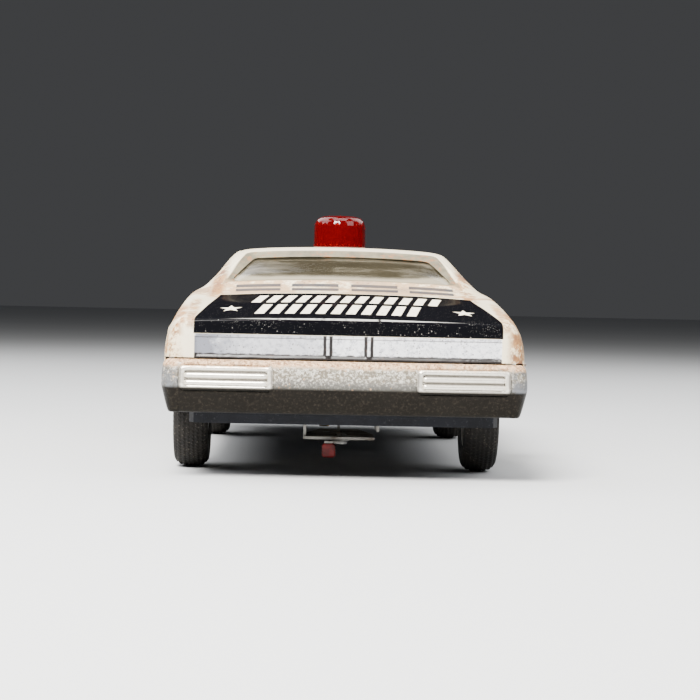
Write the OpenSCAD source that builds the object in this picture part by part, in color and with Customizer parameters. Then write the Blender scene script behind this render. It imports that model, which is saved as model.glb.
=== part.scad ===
// Clockwork tin patrol car: a pressed body on a black pan, with a spring motor
// hung over the rear axle, a winding key in the right flank and a red roof beacon.
// Millimetres. X to the right, Y forward, Z up; the origin is on the floor,
// on the centre plane, half way along the car.

/* [Car] */
// Length over both bumpers
car_length = 278; // [276:0.5:280]
// Distance between the two axles
wheelbase = 153; // [150:0.5:156]
// How far the rear axle is behind the middle of the car
rear_axle_back = 87; // [85:0.5:89]
// Thickness of the body tin
tin = 0.6; // [0.5:0.05:0.7]

/* [Wheels] */
// Radius of a tyre
wheel_radius = 17.5; // [17:0.1:18]
// Width of a tyre
tyre_width = 10.5; // [9.5:0.1:11]
// From the centre plane to the outer face of a tyre
wheel_reach = 49.2; // [49:0.1:49.4]
// How far the rear axle has slid to the right in its end play
rear_axle_slide = -1.5; // [-1.6:0.1:1.6]
// Radius of the rim that the tyre sits on
rim_radius = 10.4; // [9.5:0.1:11]
// Radius of both axles
axle_radius = 1.5; // [1.4:0.05:1.6]
// Gap between an axle or arbor and its bearing hole
running_gap = 0.08; // [0.05:0.01:0.1]

/* [Clockwork] */
// Distance between the outsides of the two motor plates
motor_width = 22.8; // [22:0.1:23.2]
// Thickness of a motor plate
plate_thick = 0.8; // [0.6:0.1:1]
// Height of the winding arbor
arbor_height = 32; // [31.5:0.1:32.5]
// How far the winding arbor is in front of the rear axle
arbor_ahead = 38; // [37.5:0.1:38.2]
// Module of the great wheel and its pinion
coarse_module = 0.6; // [0.58:0.01:0.6]
// Module of the other wheels and pinions
fine_module = 0.5; // [0.49:0.01:0.5]

/* [Beacon] */
// Diameter of the beacon dome
beacon_dia = 17.7; // [16:0.1:19]
// Height of the top of the beacon
beacon_top = 80.7; // [79:0.1:82]
// How far the beacon is behind the middle of the car
beacon_back = 11; // [8:0.5:14]

/* [Hidden] */
$fn = 64;
half_length = car_length / 2;
rear_axle_y = -rear_axle_back;
front_axle_y = rear_axle_y + wheelbase;

// Body ----------------------------------------------------------------
// Each line of the net is one section of the body: where it lies along the car,
// then [half width, height] of eleven points from the sill, up the side, over the
// wing crest, belt and pillar, to the centre line.
BODY_NET = [
    // tail panel
    [-136.0, [[44.0, 19.4], [38.0, 19.4], [32.0, 19.4], [27.0, 19.4], [22.0, 19.4], [18.0, 19.4],
        [14.0, 19.4], [11.0, 19.4], [8.0, 19.4], [4.0, 19.4], [0, 19.4]]],
    [-136.0, [[44.4, 19.4], [43.0, 25.0], [41.5, 31.0], [39.5, 35.0], [36.0, 36.5], [31.0, 37.0],
        [26.0, 37.3], [21.0, 37.5], [15.0, 37.6], [7.5, 37.7], [0, 37.7]]],
    [-136.0, [[45.5, 19.4], [46.3, 27.0], [46.6, 34.5], [46.0, 40.8], [44.5, 44.4], [42.8, 45.0],
        [38.0, 45.2], [31.0, 45.4], [22.0, 45.6], [11.0, 45.8], [0, 45.9]]],
    [-135.7, [[46.6, 19.4], [48.0, 27.0], [48.4, 34.5], [47.8, 41.2], [45.7, 45.3], [43.5, 45.7],
        [38.0, 45.9], [31.0, 46.1], [22.0, 46.3], [11.0, 46.5], [0, 46.6]]],
    // boot lid between the rear wings
    [-134.0, [[48.6, 19.4], [51.0, 27.0], [51.9, 34.5], [51.1, 41.6], [47.9, 46.8], [44.1, 46.3],
        [38.0, 46.4], [31.0, 46.6], [22.0, 46.8], [11.0, 47.0], [0, 47.1]]],
    [-124.0, [[49.6, 19.4], [51.9, 27.0], [52.6, 34.5], [51.8, 42.4], [48.2, 48.5], [43.9, 47.6],
        [38.0, 47.8], [31.0, 48.0], [22.0, 48.3], [11.0, 48.5], [0, 48.6]]],
    [-106.0, [[49.8, 19.4], [52.1, 27.0], [52.8, 34.5], [52.0, 43.0], [48.2, 51.0], [43.4, 50.0],
        [37.6, 50.4], [31.0, 50.8], [22.0, 51.1], [11.0, 51.3], [0, 51.4]]],
    [-90.0, [[49.8, 19.4], [52.1, 27.0], [52.8, 34.5], [52.0, 43.6], [48.2, 52.7], [42.8, 51.6],
        [37.2, 52.0], [31.0, 52.4], [22.0, 52.8], [11.0, 53.0], [0, 53.1]]],
    [-79.0, [[49.6, 19.4], [51.9, 27.0], [52.6, 34.5], [51.8, 44.0], [48.0, 53.7], [43.2, 53.3],
        [38.0, 53.5], [31.0, 53.9], [22.0, 54.3], [11.0, 54.5], [0, 54.6]]],
    // rear window and its pillars
    [-70.0, [[49.4, 19.4], [51.6, 27.0], [52.3, 34.5], [51.5, 44.2], [47.8, 54.0], [44.0, 54.4],
        [39.4, 55.4], [34.5, 55.9], [24.0, 56.3], [12.0, 56.6], [0, 56.7]]],
    [-62.0, [[49.2, 19.4], [51.3, 27.0], [52.0, 34.5], [51.2, 44.2], [47.6, 53.8], [44.4, 54.8],
        [41.2, 57.8], [36.8, 59.6], [30.0, 60.4], [15.0, 61.0], [0, 61.2]]],
    [-50.0, [[49.0, 19.4], [50.9, 27.0], [51.5, 34.5], [50.8, 44.0], [47.2, 53.4], [44.4, 54.6],
        [39.8, 60.2], [35.4, 64.4], [30.0, 65.6], [15.0, 66.4], [0, 66.6]]],
    // roof
    [-41.0, [[48.8, 19.4], [50.6, 27.0], [51.2, 34.5], [50.5, 43.8], [47.0, 53.0], [44.4, 54.2],
        [39.2, 61.0], [34.6, 67.2], [30.4, 68.2], [15.0, 69.0], [0, 69.2]]],
    [-30.0, [[48.6, 19.4], [50.4, 27.0], [51.0, 34.5], [50.3, 43.6], [46.9, 52.6], [44.4, 53.7],
        [39.4, 60.8], [34.6, 67.4], [30.4, 68.4], [15.0, 69.2], [0, 69.4]]],
    [-8.0, [[48.4, 19.4], [50.1, 27.0], [50.7, 34.5], [50.0, 43.3], [46.8, 52.0], [44.2, 53.0],
        [39.6, 60.4], [34.8, 67.4], [30.6, 68.5], [15.0, 69.3], [0, 69.5]]],
    [14.0, [[48.6, 19.4], [50.2, 27.0], [50.8, 34.5], [50.1, 42.9], [46.9, 51.5], [44.2, 52.5],
        [39.8, 59.8], [35.0, 66.4], [30.8, 67.6], [15.0, 68.5], [0, 68.7]]],
    // windscreen
    [24.0, [[48.8, 19.4], [50.4, 27.0], [51.0, 34.5], [50.3, 42.7], [47.0, 51.1], [44.2, 52.1],
        [40.0, 58.6], [35.8, 64.3], [31.2, 65.7], [15.5, 66.8], [0, 67.0]]],
    [36.0, [[49.0, 19.4], [50.7, 27.0], [51.3, 34.5], [50.6, 42.5], [47.1, 50.6], [44.0, 51.4],
        [40.6, 55.8], [37.2, 59.2], [32.0, 60.4], [16.0, 61.8], [0, 62.2]]],
    // bonnet between the front wings
    [47.0, [[49.2, 19.4], [51.0, 27.0], [51.7, 34.5], [50.9, 42.2], [47.2, 50.1], [43.6, 50.6],
        [40.4, 52.2], [36.0, 53.8], [29.0, 54.8], [15.0, 55.8], [0, 56.1]]],
    [54.0, [[49.4, 19.4], [51.2, 27.0], [51.9, 34.5], [51.1, 41.9], [47.2, 49.7], [42.8, 49.7],
        [37.4, 50.3], [31.0, 51.1], [22.0, 52.1], [11.0, 52.9], [0, 53.1]]],
    [66.0, [[49.6, 19.4], [51.4, 27.0], [52.1, 34.5], [51.3, 41.7], [47.2, 49.2], [42.6, 48.8],
        [37.2, 49.4], [31.0, 50.2], [22.0, 51.2], [11.0, 51.9], [0, 52.1]]],
    [88.0, [[49.6, 19.4], [51.4, 27.0], [52.1, 34.5], [51.2, 41.1], [47.1, 48.2], [42.3, 47.6],
        [37.0, 48.2], [31.0, 49.0], [22.0, 49.9], [11.0, 50.6], [0, 50.8]]],
    [110.0, [[49.2, 19.4], [51.0, 27.0], [51.7, 34.5], [50.7, 40.3], [46.5, 46.7], [42.0, 46.0],
        [36.8, 46.6], [31.0, 47.2], [22.0, 48.0], [11.0, 48.6], [0, 48.8]]],
    [124.0, [[48.4, 19.4], [50.2, 27.0], [50.9, 34.5], [49.7, 39.5], [45.9, 45.3], [41.8, 44.5],
        [36.6, 45.0], [31.0, 45.5], [22.0, 46.1], [11.0, 46.6], [0, 46.8]]],
    // nose panel
    [131.6, [[46.8, 19.4], [48.4, 27.0], [49.0, 34.5], [47.9, 38.8], [44.7, 43.4], [41.2, 43.2],
        [36.4, 43.7], [31.0, 44.2], [22.0, 44.8], [11.0, 45.3], [0, 45.5]]],
    [132.8, [[45.2, 19.4], [46.6, 27.0], [47.0, 34.5], [46.1, 38.4], [43.5, 42.2], [40.6, 42.5],
        [36.2, 43.0], [31.0, 43.5], [22.0, 44.1], [11.0, 44.6], [0, 44.8]]],
    [133.0, [[44.0, 19.4], [43.6, 25.0], [42.0, 31.0], [40.0, 35.0], [36.5, 36.5], [31.5, 36.8],
        [26.0, 37.0], [21.0, 37.2], [15.0, 37.4], [7.5, 37.5], [0, 37.5]]],
    [133.0, [[43.0, 19.4], [38.0, 19.4], [32.0, 19.4], [27.0, 19.4], [22.0, 19.4], [18.0, 19.4],
        [14.0, 19.4], [11.0, 19.4], [8.0, 19.4], [4.0, 19.4], [0, 19.4]]],
];
net_rows = len(BODY_NET);
net_points = len(BODY_NET[0][1]);
// spans of the smooth surface: along the car, and from sill to centre line
row_spans = net_rows + 1;
point_spans = net_points;
rows = 52;
columns = 17;

function clamp(value, low, high) = min(max(value, low), high);
function net_point(row, point) =
    let (section = BODY_NET[clamp(row, 0, net_rows - 1)],
         over = point > net_points - 1,
         p = section[1][clamp(over ? 2 * (net_points - 1) - point : point, 0, net_points - 1)])
    [over ? -p[0] : p[0], section[0], p[1]];
// weights of the four net points that shape a cubic spline at t of 0 to 1 in its span
function weights(t) = [pow(1 - t, 3), 3 * t * t * t - 6 * t * t + 4,
    -3 * t * t * t + 3 * t * t + 3 * t + 1, t * t * t] / 6;
function skin(u, v) =
    let (a = clamp(floor(v * row_spans), 0, row_spans - 1), wa = weights(v * row_spans - a),
         b = clamp(floor(u * point_spans), 0, point_spans - 1), wb = weights(u * point_spans - b))
    wa * [for (i = [0:3]) wb * [for (j = [0:3]) net_point(a + i - 2, b + j - 2)]];
function unit(v) = norm(v) < 1e-9 ? [0, 0, 0] : v / norm(v);
// direction into the car, at right angles to the skin
function inward(u, v) =
    let (step = 0.002, u0 = clamp(u, step, 1), v0 = clamp(v, 0.012, 0.988),
         along = skin(u0, v0 + step) - skin(u0, v0 - step),
         across = skin(u0 + (u0 > 1 - step ? 0 : step), v0) - skin(u0 - step, v0),
         n = unit(cross(across, along)))
    u0 > 1 - step ? unit([0, n[1], n[2]]) : n;
function depth_point(u, v, depth) = skin(u, v) + depth * inward(u, v);
function mirrored(p) = [-p[0], p[1], p[2]];

// A closed sheet between two depths under the skin, over a stretch of v, and from u0
// on the right side over the centre line to the same place on the left.
module skin_sheet(depth0, depth1, u0, v0, v1, rows, columns) {
    width = 2 * columns - 1;
    us = [for (j = [0:width - 1]) let (s = j < columns ? j : width - 1 - j) u0 + (1 - u0) * s / (columns - 1)];
    points = [for (depth = [depth0, depth1], i = [0:rows - 1], j = [0:width - 1])
        let (p = depth_point(us[j], v0 + (v1 - v0) * i / (rows - 1), depth)) j < columns ? p : mirrored(p)];
    layer = rows * width;
    rim = concat([for (j = [0:width - 2]) j], [for (i = [0:rows - 2]) i * width + width - 1],
        [for (j = [width - 1:-1:1]) (rows - 1) * width + j], [for (i = [rows - 1:-1:1]) i * width]);
    polyhedron(points, concat(
        [for (i = [0:rows - 2], j = [0:width - 2]) let (k = i * width + j) [k, k + width, k + width + 1]],
        [for (i = [0:rows - 2], j = [0:width - 2]) let (k = i * width + j) [k, k + width + 1, k + 1]],
        [for (i = [0:rows - 2], j = [0:width - 2]) let (k = layer + i * width + j) [k, k + width + 1, k + width]],
        [for (i = [0:rows - 2], j = [0:width - 2]) let (k = layer + i * width + j) [k, k + 1, k + width + 1]],
        [for (k = [0:len(rim) - 1]) let (a = rim[k], b = rim[(k + 1) % len(rim)]) [a, b, layer + b]],
        [for (k = [0:len(rim) - 1]) let (a = rim[k], b = rim[(k + 1) % len(rim)]) [a, layer + b, layer + a]]));
}

// Corners of a flat outline with rounded corners
module rounded(points, radius) {
    offset(r = radius) offset(delta = -radius) polygon(points);
}
// A plan outline that is the same on both sides, from points on the right
function both_sides(points) = concat(points,
    [for (i = [len(points) - 1:-1:0]) if (points[i][0] > 0) [-points[i][0], points[i][1]]]);
// A straight-sided block standing on a plan outline
module standing(points, low, high) {
    translate([0, 0, low]) linear_extrude(high - low) polygon(points);
}
// Draws a side outline of [along, up] points and makes it thick from x0 to x1
module across(x0, x1) {
    translate([x0, 0, 0]) rotate([90, 0, 90]) linear_extrude(x1 - x0) children();
}
// A round rod across the car
module cross_rod(radius, x0, x1, y, z) {
    translate([x0, y, z]) rotate([0, 90, 0]) cylinder(r = radius, h = x1 - x0);
}
module on_both_sides() {
    children();
    mirror([1, 0, 0]) children();
}

// Body openings -------------------------------------------------------
sill_height = 19.4;
arch_radius = 20.5;
bumper_gap = 34.8;        // the tail and nose panels end here, above the bumpers
bumper_wrap = 11.5;       // how far a bumper reaches round the sides
opening_low = 10;         // below everything that an opening is cut from
rear_window_plan = [[34.6, -66], [29, -48.6]];
windscreen_plan = [[29.6, 20.5], [34.6, 42.4]];
door_window = [[-8.4, 55.2], [29.5, 54.4], [14.5, 64.2], [-8.4, 65.0]];
quarter_window = [[-37, 55.6], [-12.4, 55.4], [-12.4, 65.0], [-29, 65.0]];
key_hole_radius = 3.2;
beacon_y = -beacon_back;
roof_height = 69.4;

module body_shell() color("ivory") difference() {
    skin_sheet(0, tin, 0, 0, 1, rows, columns);
    for (y = [-half_length, half_length - bumper_wrap])
        translate([-60, y, opening_low]) cube([120, bumper_wrap, bumper_gap - opening_low]);
    standing(both_sides(rear_window_plan), 50, 75);
    standing(both_sides(windscreen_plan), 48, 75);
    on_both_sides() across(36, 60) polygon(door_window);
    on_both_sides() across(36, 60) polygon(quarter_window);
    for (y = [rear_axle_y, front_axle_y]) cross_rod(arch_radius, -60, 60, y, wheel_radius);
    cross_rod(key_hole_radius, 45, 60, arbor_y, arbor_height);
    translate([0, beacon_y, 60]) cylinder(r = 1.6, h = 15);
}

// Windows -------------------------------------------------------------
glass = 0.5;
glass_depth = tin + 0.4;   // far enough in to clear the flats of the skin
module window_glass(u0, v0, v1, rows, columns) {
    color("gray", 0.5) skin_sheet(glass_depth, glass_depth + glass, u0, v0, v1, rows, columns);
}
side_glass_outline = [[-40, 54.6], [31.2, 53.6], [14.6, 65.1], [-30, 66]];
// where the rows of the net put the two large windows
module rear_window() window_glass(0.664, 0.352, 0.43, 9, 9);
module windscreen() window_glass(0.678, 0.577, 0.664, 9, 9);
module side_window(side) color("gray", 0.5)
    mirror([side < 0 ? 1 : 0, 0, 0]) intersection() {
        skin_sheet(glass_depth, glass_depth + glass, 0.462, 0.42, 0.638, 14, 12);
        across(30, 60) polygon(side_glass_outline);
    }
module side_window_left() side_window(-1);
module side_window_right() side_window(1);

// Pan -----------------------------------------------------------------
pan_floor = 21;
pan_lip = 16;
pan_plan = [[40.5, -131.4], [43.2, -130], [44.6, -127], [45, -108], [36, -108], [36, -66], [47.2, -66],
    [47.2, 45], [36, 45], [36, 87], [47.2, 87], [46.2, 122], [44.8, 127], [42, 128.6]];
pan_inner = [[40.1, -130.8], [42.7, -129.5], [44, -126.8], [44.4, -108.6], [35.4, -108.6], [35.4, -65.4],
    [46.6, -65.4], [46.6, 44.4], [35.4, 44.4], [35.4, 87.6], [46.6, 87.6], [45.6, 121.8], [44.3, 126.6],
    [41.7, 128]];
axle_slot = axle_radius + 0.8;
motor_hole = [[12.9, -107], [12.9, -30]];
ear_rivets = [for (y = [-66, -38], side = [-1, 1]) [side * 15.5, y]];
bracket_rivets_at = [for (side = [-1, 1]) [side * 8, front_axle_y]];

module chassis_pan() color("dimgray") difference() {
    standing(both_sides(pan_plan), pan_lip, pan_floor + tin);
    standing(both_sides(pan_inner), pan_lip - 1, pan_floor);
    standing(both_sides(motor_hole), pan_floor - 1, pan_floor + 1);
    // slots in the lip that the axles drop into
    for (y = [rear_axle_y, front_axle_y]) {
        cross_rod(axle_slot, -40, 40, y, wheel_radius);
        translate([-40, y - axle_slot, opening_low]) cube([80, 2 * axle_slot, wheel_radius - opening_low]);
    }
    for (at = concat(ear_rivets, bracket_rivets_at))
        translate([at[0], at[1], pan_floor - 1]) cylinder(r = 1.2, h = 3);
}

// Bumpers -------------------------------------------------------------
// [half width, how far forward] of the plan, then [forward, up] of the side outline
bumper_plan = [[52, 11.2], [52, 6.2], [51.2, 3.4], [49.4, 1.6], [46, 0.8], [28, 0.25], [0, 0]];
bumper_side = [[11.2, 34.1], [1, 34.1], [0.35, 33.8], [0, 33], [0.1, 26.4], [0.9, 23.2], [2.6, 20.4], [3.8, 19.3],
    [11.2, 19.3]];
module bumper_block(inset) {
    intersection() {
        linear_extrude(60) polygon(both_sides([for (p = bumper_plan) [p[0] - inset, p[1] + inset]]));
        across(-60, 60) polygon([for (p = bumper_side) [p[0] + inset, p[1] - (p[1] > 30 ? inset : -inset)]]);
        rotate([90, 0, 0]) translate([0, 0, -30]) linear_extrude(60)
            polygon(both_sides([[49.2 - inset, 19.3 - inset], [50.5 - inset, 20.4], [51.4 - inset, 23],
                [52 - inset, 27.5], [52 - inset, 34.1]]));
    }
}
module bumper() {
    difference() {
        bumper_block(0);
        bumper_block(tin);
        // open at the bottom, behind the rolled lower edge, and toward the car
        translate([-48, 4.4, 18]) cube([96, 10, 3]);
        translate([-51.4, 10, 10]) cube([102.8, 5, 24.1 - tin]);
    }
    // tongues that lie on the pan
    for (x = [-24, 24]) translate([x - 4, 0.9, pan_floor + tin]) cube([8, 15.5, tin]);
}
module rear_bumper() color("silver") translate([0, -half_length, 0]) bumper();
module front_bumper() color("silver") translate([0, half_length, 0]) mirror([0, 1, 0]) bumper();

// Grille --------------------------------------------------------------
nose_y = 133;
lamp_radius = 3.3;
lamps_at = [21.5, 30];
module grille() color("silver") translate([0, nose_y, 0]) difference() {
    union() {
        rotate([90, 0, 0]) mirror([0, 0, 1]) linear_extrude(0.8)
            polygon(both_sides([[34.5, 35.6], [35.5, 36.6], [35.2, 41.6], [34, 42.4]]));
        for (x = lamps_at, side = [-1, 1])
            translate([side * x, 0.8, 39]) rotate([-90, 0, 0]) cylinder(r1 = lamp_radius, r2 = lamp_radius - 0.5, h = 1.2);
    }
    for (x = lamps_at, side = [-1, 1])
        translate([side * x, 1.2, 39]) rotate([-90, 0, 0]) cylinder(r = lamp_radius - 1, h = 2);
    for (z = [36.7:1.3:41.5]) translate([-16, 0.4, z]) cube([32, 1, 0.6]);
}

// Cabin ---------------------------------------------------------------
cabin_floor = pan_floor + tin;
cabin_back = -29;
cabin_front = 41;
module interior_tray() color("dimgray") {
    translate([-40, cabin_back, cabin_floor]) cube([80, cabin_front - cabin_back, tin]);
    translate([-40, cabin_back, cabin_floor]) cube([80, tin, 30]);
    for (x = [-40, 40 - tin]) translate([x, cabin_back, cabin_floor]) cube([tin, cabin_front - cabin_back, 26]);
}
seat_base = cabin_floor + tin;
module seat(width, y) {
    across(-width / 2, width / 2) translate([y, seat_base]) rounded(
        [[0, 0], [-1, 27], [4, 28], [6.5, 15], [17, 15.5], [17.5, 11], [16, 0]], 1.5);
}
module rear_seat() color("dimgray") seat(66, -27);
module front_seat() color("dimgray") seat(70, -1);
dash_y = 32;
wheel_at = [-18, 24.5, 44.5];
column_tilt = 65;
module dashboard() color("dimgray") difference() {
    across(-39, 39) polygon([[dash_y, 38], [dash_y - 1.5, 43], [dash_y, 47.6], [dash_y + 3, 48.4], [40.5, 47.6],
        [40.5, seat_base], [39.5, seat_base], [39.5, 38]]);
    // the column's hole
    translate(wheel_at) rotate([column_tilt, 0, 0]) translate([0, 0, -8]) cylinder(r = 0.95, h = 6);
}
module steering_wheel() color("black") translate(wheel_at) rotate([column_tilt, 0, 0]) {
    rotate_extrude() translate([7, 0]) circle(r = 0.8, $fn = 16);
    cylinder(r = 1.8, h = 1.4, center = true);
    for (turn = [90, 210, 330]) rotate([0, 0, turn]) translate([1, -0.6, -0.4]) cube([5.8, 1.2, 0.8]);
    translate([0, 0, -7.6]) cylinder(r = 0.9, h = 7);
}

// Beacon --------------------------------------------------------------
beacon_radius = beacon_dia / 2;
dome_wall = 1.1;
dome_height = beacon_top - roof_height;
base_height = 1.4;
// the disc that the dome is pressed onto
module beacon_base() color("gainsboro") translate([0, beacon_y, roof_height]) difference() {
    cylinder(r = beacon_radius - dome_wall - 0.1, h = base_height);
    translate([0, 0, -1]) cylinder(r = 1.6, h = 4);
}
module beacon_dome() color("red", 0.6) translate([0, beacon_y, roof_height]) difference() {
    rotate_extrude() polygon([[0, 0], [beacon_radius, 0], [beacon_radius - 0.15, dome_height - 2.6],
        [beacon_radius - 0.8, dome_height - 1.1], [beacon_radius - 2.2, dome_height - 0.25],
        [beacon_radius - 4, dome_height], [0, dome_height]]);
    translate([0, 0, -1]) cylinder(r = beacon_radius - dome_wall, h = dome_height + 1 - dome_wall);
}
module beacon_rivet() color("silver") translate([0, beacon_y, 0]) {
    translate([0, 0, roof_height - 1.2]) cylinder(r = 1.5, h = dome_height - 1);
    translate([0, 0, roof_height + base_height]) cylinder(r = 2.6, h = 1);
    translate([0, 0, roof_height - 1.8]) cylinder(r = 2.6, h = 0.6);
}

// Wheels --------------------------------------------------------------
hub_in = wheel_reach - tyre_width + 0.6;
hub_out = wheel_reach - 1.2;
// stands a wheel piece on its axle, from the [radius, along] outline of its right-hand one
module on_axle(side, y) {
    translate([y == rear_axle_y ? rear_axle_slide : 0, y, wheel_radius]) mirror([side < 0 ? 1 : 0, 0, 0])
        rotate([0, 90, 0]) rotate_extrude($fn = 96) children();
}
module tyre(side, y) color("dimgray") on_axle(side, y) polygon([
    [rim_radius, hub_in], [rim_radius + 3, hub_in - 0.6], [wheel_radius - 1.6, hub_in - 0.4],
    [wheel_radius - 0.3, hub_in + 0.8], [wheel_radius, hub_in + 2], [wheel_radius, wheel_reach - 2.4],
    [wheel_radius - 0.3, wheel_reach - 1.2], [wheel_radius - 1.6, wheel_reach - 0.1],
    [rim_radius + 3, wheel_reach], [rim_radius, wheel_reach - 0.6]]);
module wheel_disc(side, y) color("silver") on_axle(side, y) polygon([
    [axle_radius, hub_in - 1.2], [3, hub_in - 1.2], [3, hub_out - 3], [rim_radius - 0.8, hub_out - 3],
    [rim_radius - 0.8, hub_in], [rim_radius, hub_in], [rim_radius, hub_out], [rim_radius - 0.8, hub_out],
    [rim_radius - 1.6, hub_out - 1.8], [axle_radius, hub_out - 1.8]]);
module hubcap(side, y) color("silver") on_axle(side, y) polygon([
    [0, hub_out - 0.9], [axle_radius + 0.4, hub_out - 0.9], [axle_radius + 0.4, hub_out - 1.8],
    [6, hub_out - 1.8], [5.2, hub_out - 0.6], [3.4, hub_out + 0.4], [0, hub_out + 0.8]]);
module tyre_rear_left() tyre(-1, rear_axle_y);
module tyre_rear_right() tyre(1, rear_axle_y);
module tyre_front_left() tyre(-1, front_axle_y);
module tyre_front_right() tyre(1, front_axle_y);
module wheel_disc_rear_left() wheel_disc(-1, rear_axle_y);
module wheel_disc_rear_right() wheel_disc(1, rear_axle_y);
module wheel_disc_front_left() wheel_disc(-1, front_axle_y);
module wheel_disc_front_right() wheel_disc(1, front_axle_y);
module hubcap_rear_left() hubcap(-1, rear_axle_y);
module hubcap_rear_right() hubcap(1, rear_axle_y);
module hubcap_front_left() hubcap(-1, front_axle_y);
module hubcap_front_right() hubcap(1, front_axle_y);
axle_half = hub_out - 1;
module rear_axle() color("silver") cross_rod(axle_radius, rear_axle_slide - axle_half,
    rear_axle_slide + axle_half, rear_axle_y, wheel_radius);
module front_axle() color("silver") cross_rod(axle_radius, -axle_half, axle_half, front_axle_y, wheel_radius);

bracket_half = 34;
module front_axle_bracket() color("silver") difference() {
    union() {
        translate([-bracket_half, front_axle_y - 5, pan_floor - 1]) cube([2 * bracket_half, 10, 1]);
        for (x = [-bracket_half, bracket_half - 1]) across(x, x + 1)
            hull() {
                translate([front_axle_y, wheel_radius]) circle(r = 3.4);
                translate([front_axle_y - 5, pan_floor - 1]) square([10, 1]);
            }
    }
    cross_rod(axle_radius + running_gap, -bracket_half - 1, bracket_half + 1, front_axle_y, wheel_radius);
    for (at = bracket_rivets_at) translate([at[0], at[1], pan_floor - 2]) cylinder(r = 1.2, h = 3);
}
module rivet(at, low, high) {
    translate([at[0], at[1], low - 0.6]) cylinder(r = 2, h = 0.6);
    translate([at[0], at[1], low]) cylinder(r = 1.15, h = high - low);
    translate([at[0], at[1], high]) cylinder(r = 2, h = 0.6);
}
module bracket_rivets() color("silver") for (at = bracket_rivets_at) rivet(at, pan_floor - 1, pan_floor + tin);

// Motor frame ---------------------------------------------------------
arbor_y = rear_axle_y + arbor_ahead;
plate_in = motor_width / 2 - plate_thick;
plate_out = motor_width / 2;
bridge_height = 10;
arbor_radius = 1.25;
pivot_radius = 1;
pillars_at = [[arbor_y + 12.4, arbor_height + 11.5], [arbor_y + 12.4, arbor_height - 11.5],
    [rear_axle_y - 11.5, wheel_radius - 2]];
pillar_radius = 1.4;

// where two circles meet, on the upper side of the line between their centres
function circles_meet(p, p_radius, q, q_radius) =
    let (d = norm(q - p), a = (p_radius * p_radius - q_radius * q_radius + d * d) / (2 * d),
         h = sqrt(p_radius * p_radius - a * a), along = (q - p) / d)
    p + a * along + h * [along[1], -along[0]];

great_teeth = 48;
second_teeth = 42;
third_teeth = 32;
pinion_teeth = 10;
axle_pinion_teeth = 16;
great_reach = coarse_module * (great_teeth + pinion_teeth) / 2;
second_reach = fine_module * (second_teeth + pinion_teeth) / 2;
third_reach = fine_module * (third_teeth + axle_pinion_teeth) / 2;
axle_at = [rear_axle_y, wheel_radius];
arbor_at = [arbor_y, arbor_height];
third_at = axle_at + third_reach * [cos(40), sin(40)];
second_at = circles_meet(arbor_at, great_reach, third_at, second_reach);

// the right plate stops short of the bridge, which only the left plate carries
right_plate_low = 12.4;
module plate_outline(low) {
    hull() {
        translate([arbor_y - 17, arbor_height - 15]) square([33, 30]);
        translate(third_at) circle(r = 9);
    }
    hull() {
        translate(third_at) circle(r = 6);
        translate([rear_axle_y - 15, low]) square([20, 23 - low]);
    }
}
module motor_plate(side) {
    x0 = side < 0 ? -plate_out : plate_in;
    low = side < 0 ? bridge_height : right_plate_low;
    difference() {
        union() {
            across(x0, x0 + plate_thick) plate_outline(low);
            for (at = ear_rivets) if (at[0] * side > 0)
                translate([side < 0 ? -18 : plate_in, at[1] - 3, pan_floor + tin])
                    cube([18 - plate_in, 6, plate_thick]);
        }
        cross_rod(axle_radius + running_gap, x0 - 1, x0 + 2, axle_at[0], axle_at[1]);
        cross_rod(arbor_radius + running_gap, x0 - 1, x0 + 2, arbor_at[0], arbor_at[1]);
        for (at = [second_at, third_at]) cross_rod(pivot_radius + running_gap, x0 - 1, x0 + 2, at[0], at[1]);
        for (at = pillars_at) cross_rod(0.8, x0 - 1, x0 + 2, at[0], at[1]);
        for (at = ear_rivets) translate([at[0], at[1], pan_floor - 1]) cylinder(r = 1.2, h = 5);
    }
}
lever_rivet_at = [0, rear_axle_y - 8];
bridge_end = 10;
finger_slot = [[-5, rear_axle_y + 5.8], [0.7, rear_axle_y + 8.8]];
// the left plate is bent under the motor as its bottom bridge
module motor_frame() color("silver") {
    motor_plate(-1);
    difference() {
        standing([[-plate_out, rear_axle_y - 17], [bridge_end, rear_axle_y - 17], [bridge_end, rear_axle_y - 2],
            [6, rear_axle_y + 22], [-6, rear_axle_y + 22], [-plate_out, rear_axle_y - 2]],
            bridge_height, bridge_height + plate_thick);
        translate([lever_rivet_at[0], lever_rivet_at[1], bridge_height - 1]) cylinder(r = 1.05, h = 3);
        translate([finger_slot[0][0], finger_slot[0][1], bridge_height - 1])
            cube([finger_slot[1][0] - finger_slot[0][0], finger_slot[1][1] - finger_slot[0][1], 3]);
    }
}
module motor_plate_right() color("silver") motor_plate(1);
module motor_pillars() color("silver") for (at = pillars_at) {
    cross_rod(pillar_radius, -plate_in, plate_in, at[0], at[1]);
    cross_rod(0.75, -plate_out - 0.5, plate_out + 0.5, at[0], at[1]);
}
module motor_rivets() color("silver") for (at = ear_rivets) rivet(at, pan_floor, pan_floor + tin + plate_thick);

// Gears ---------------------------------------------------------------
pressure_angle = 20;
slack = 0.9;              // share of half a pitch that a tooth fills
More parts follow.
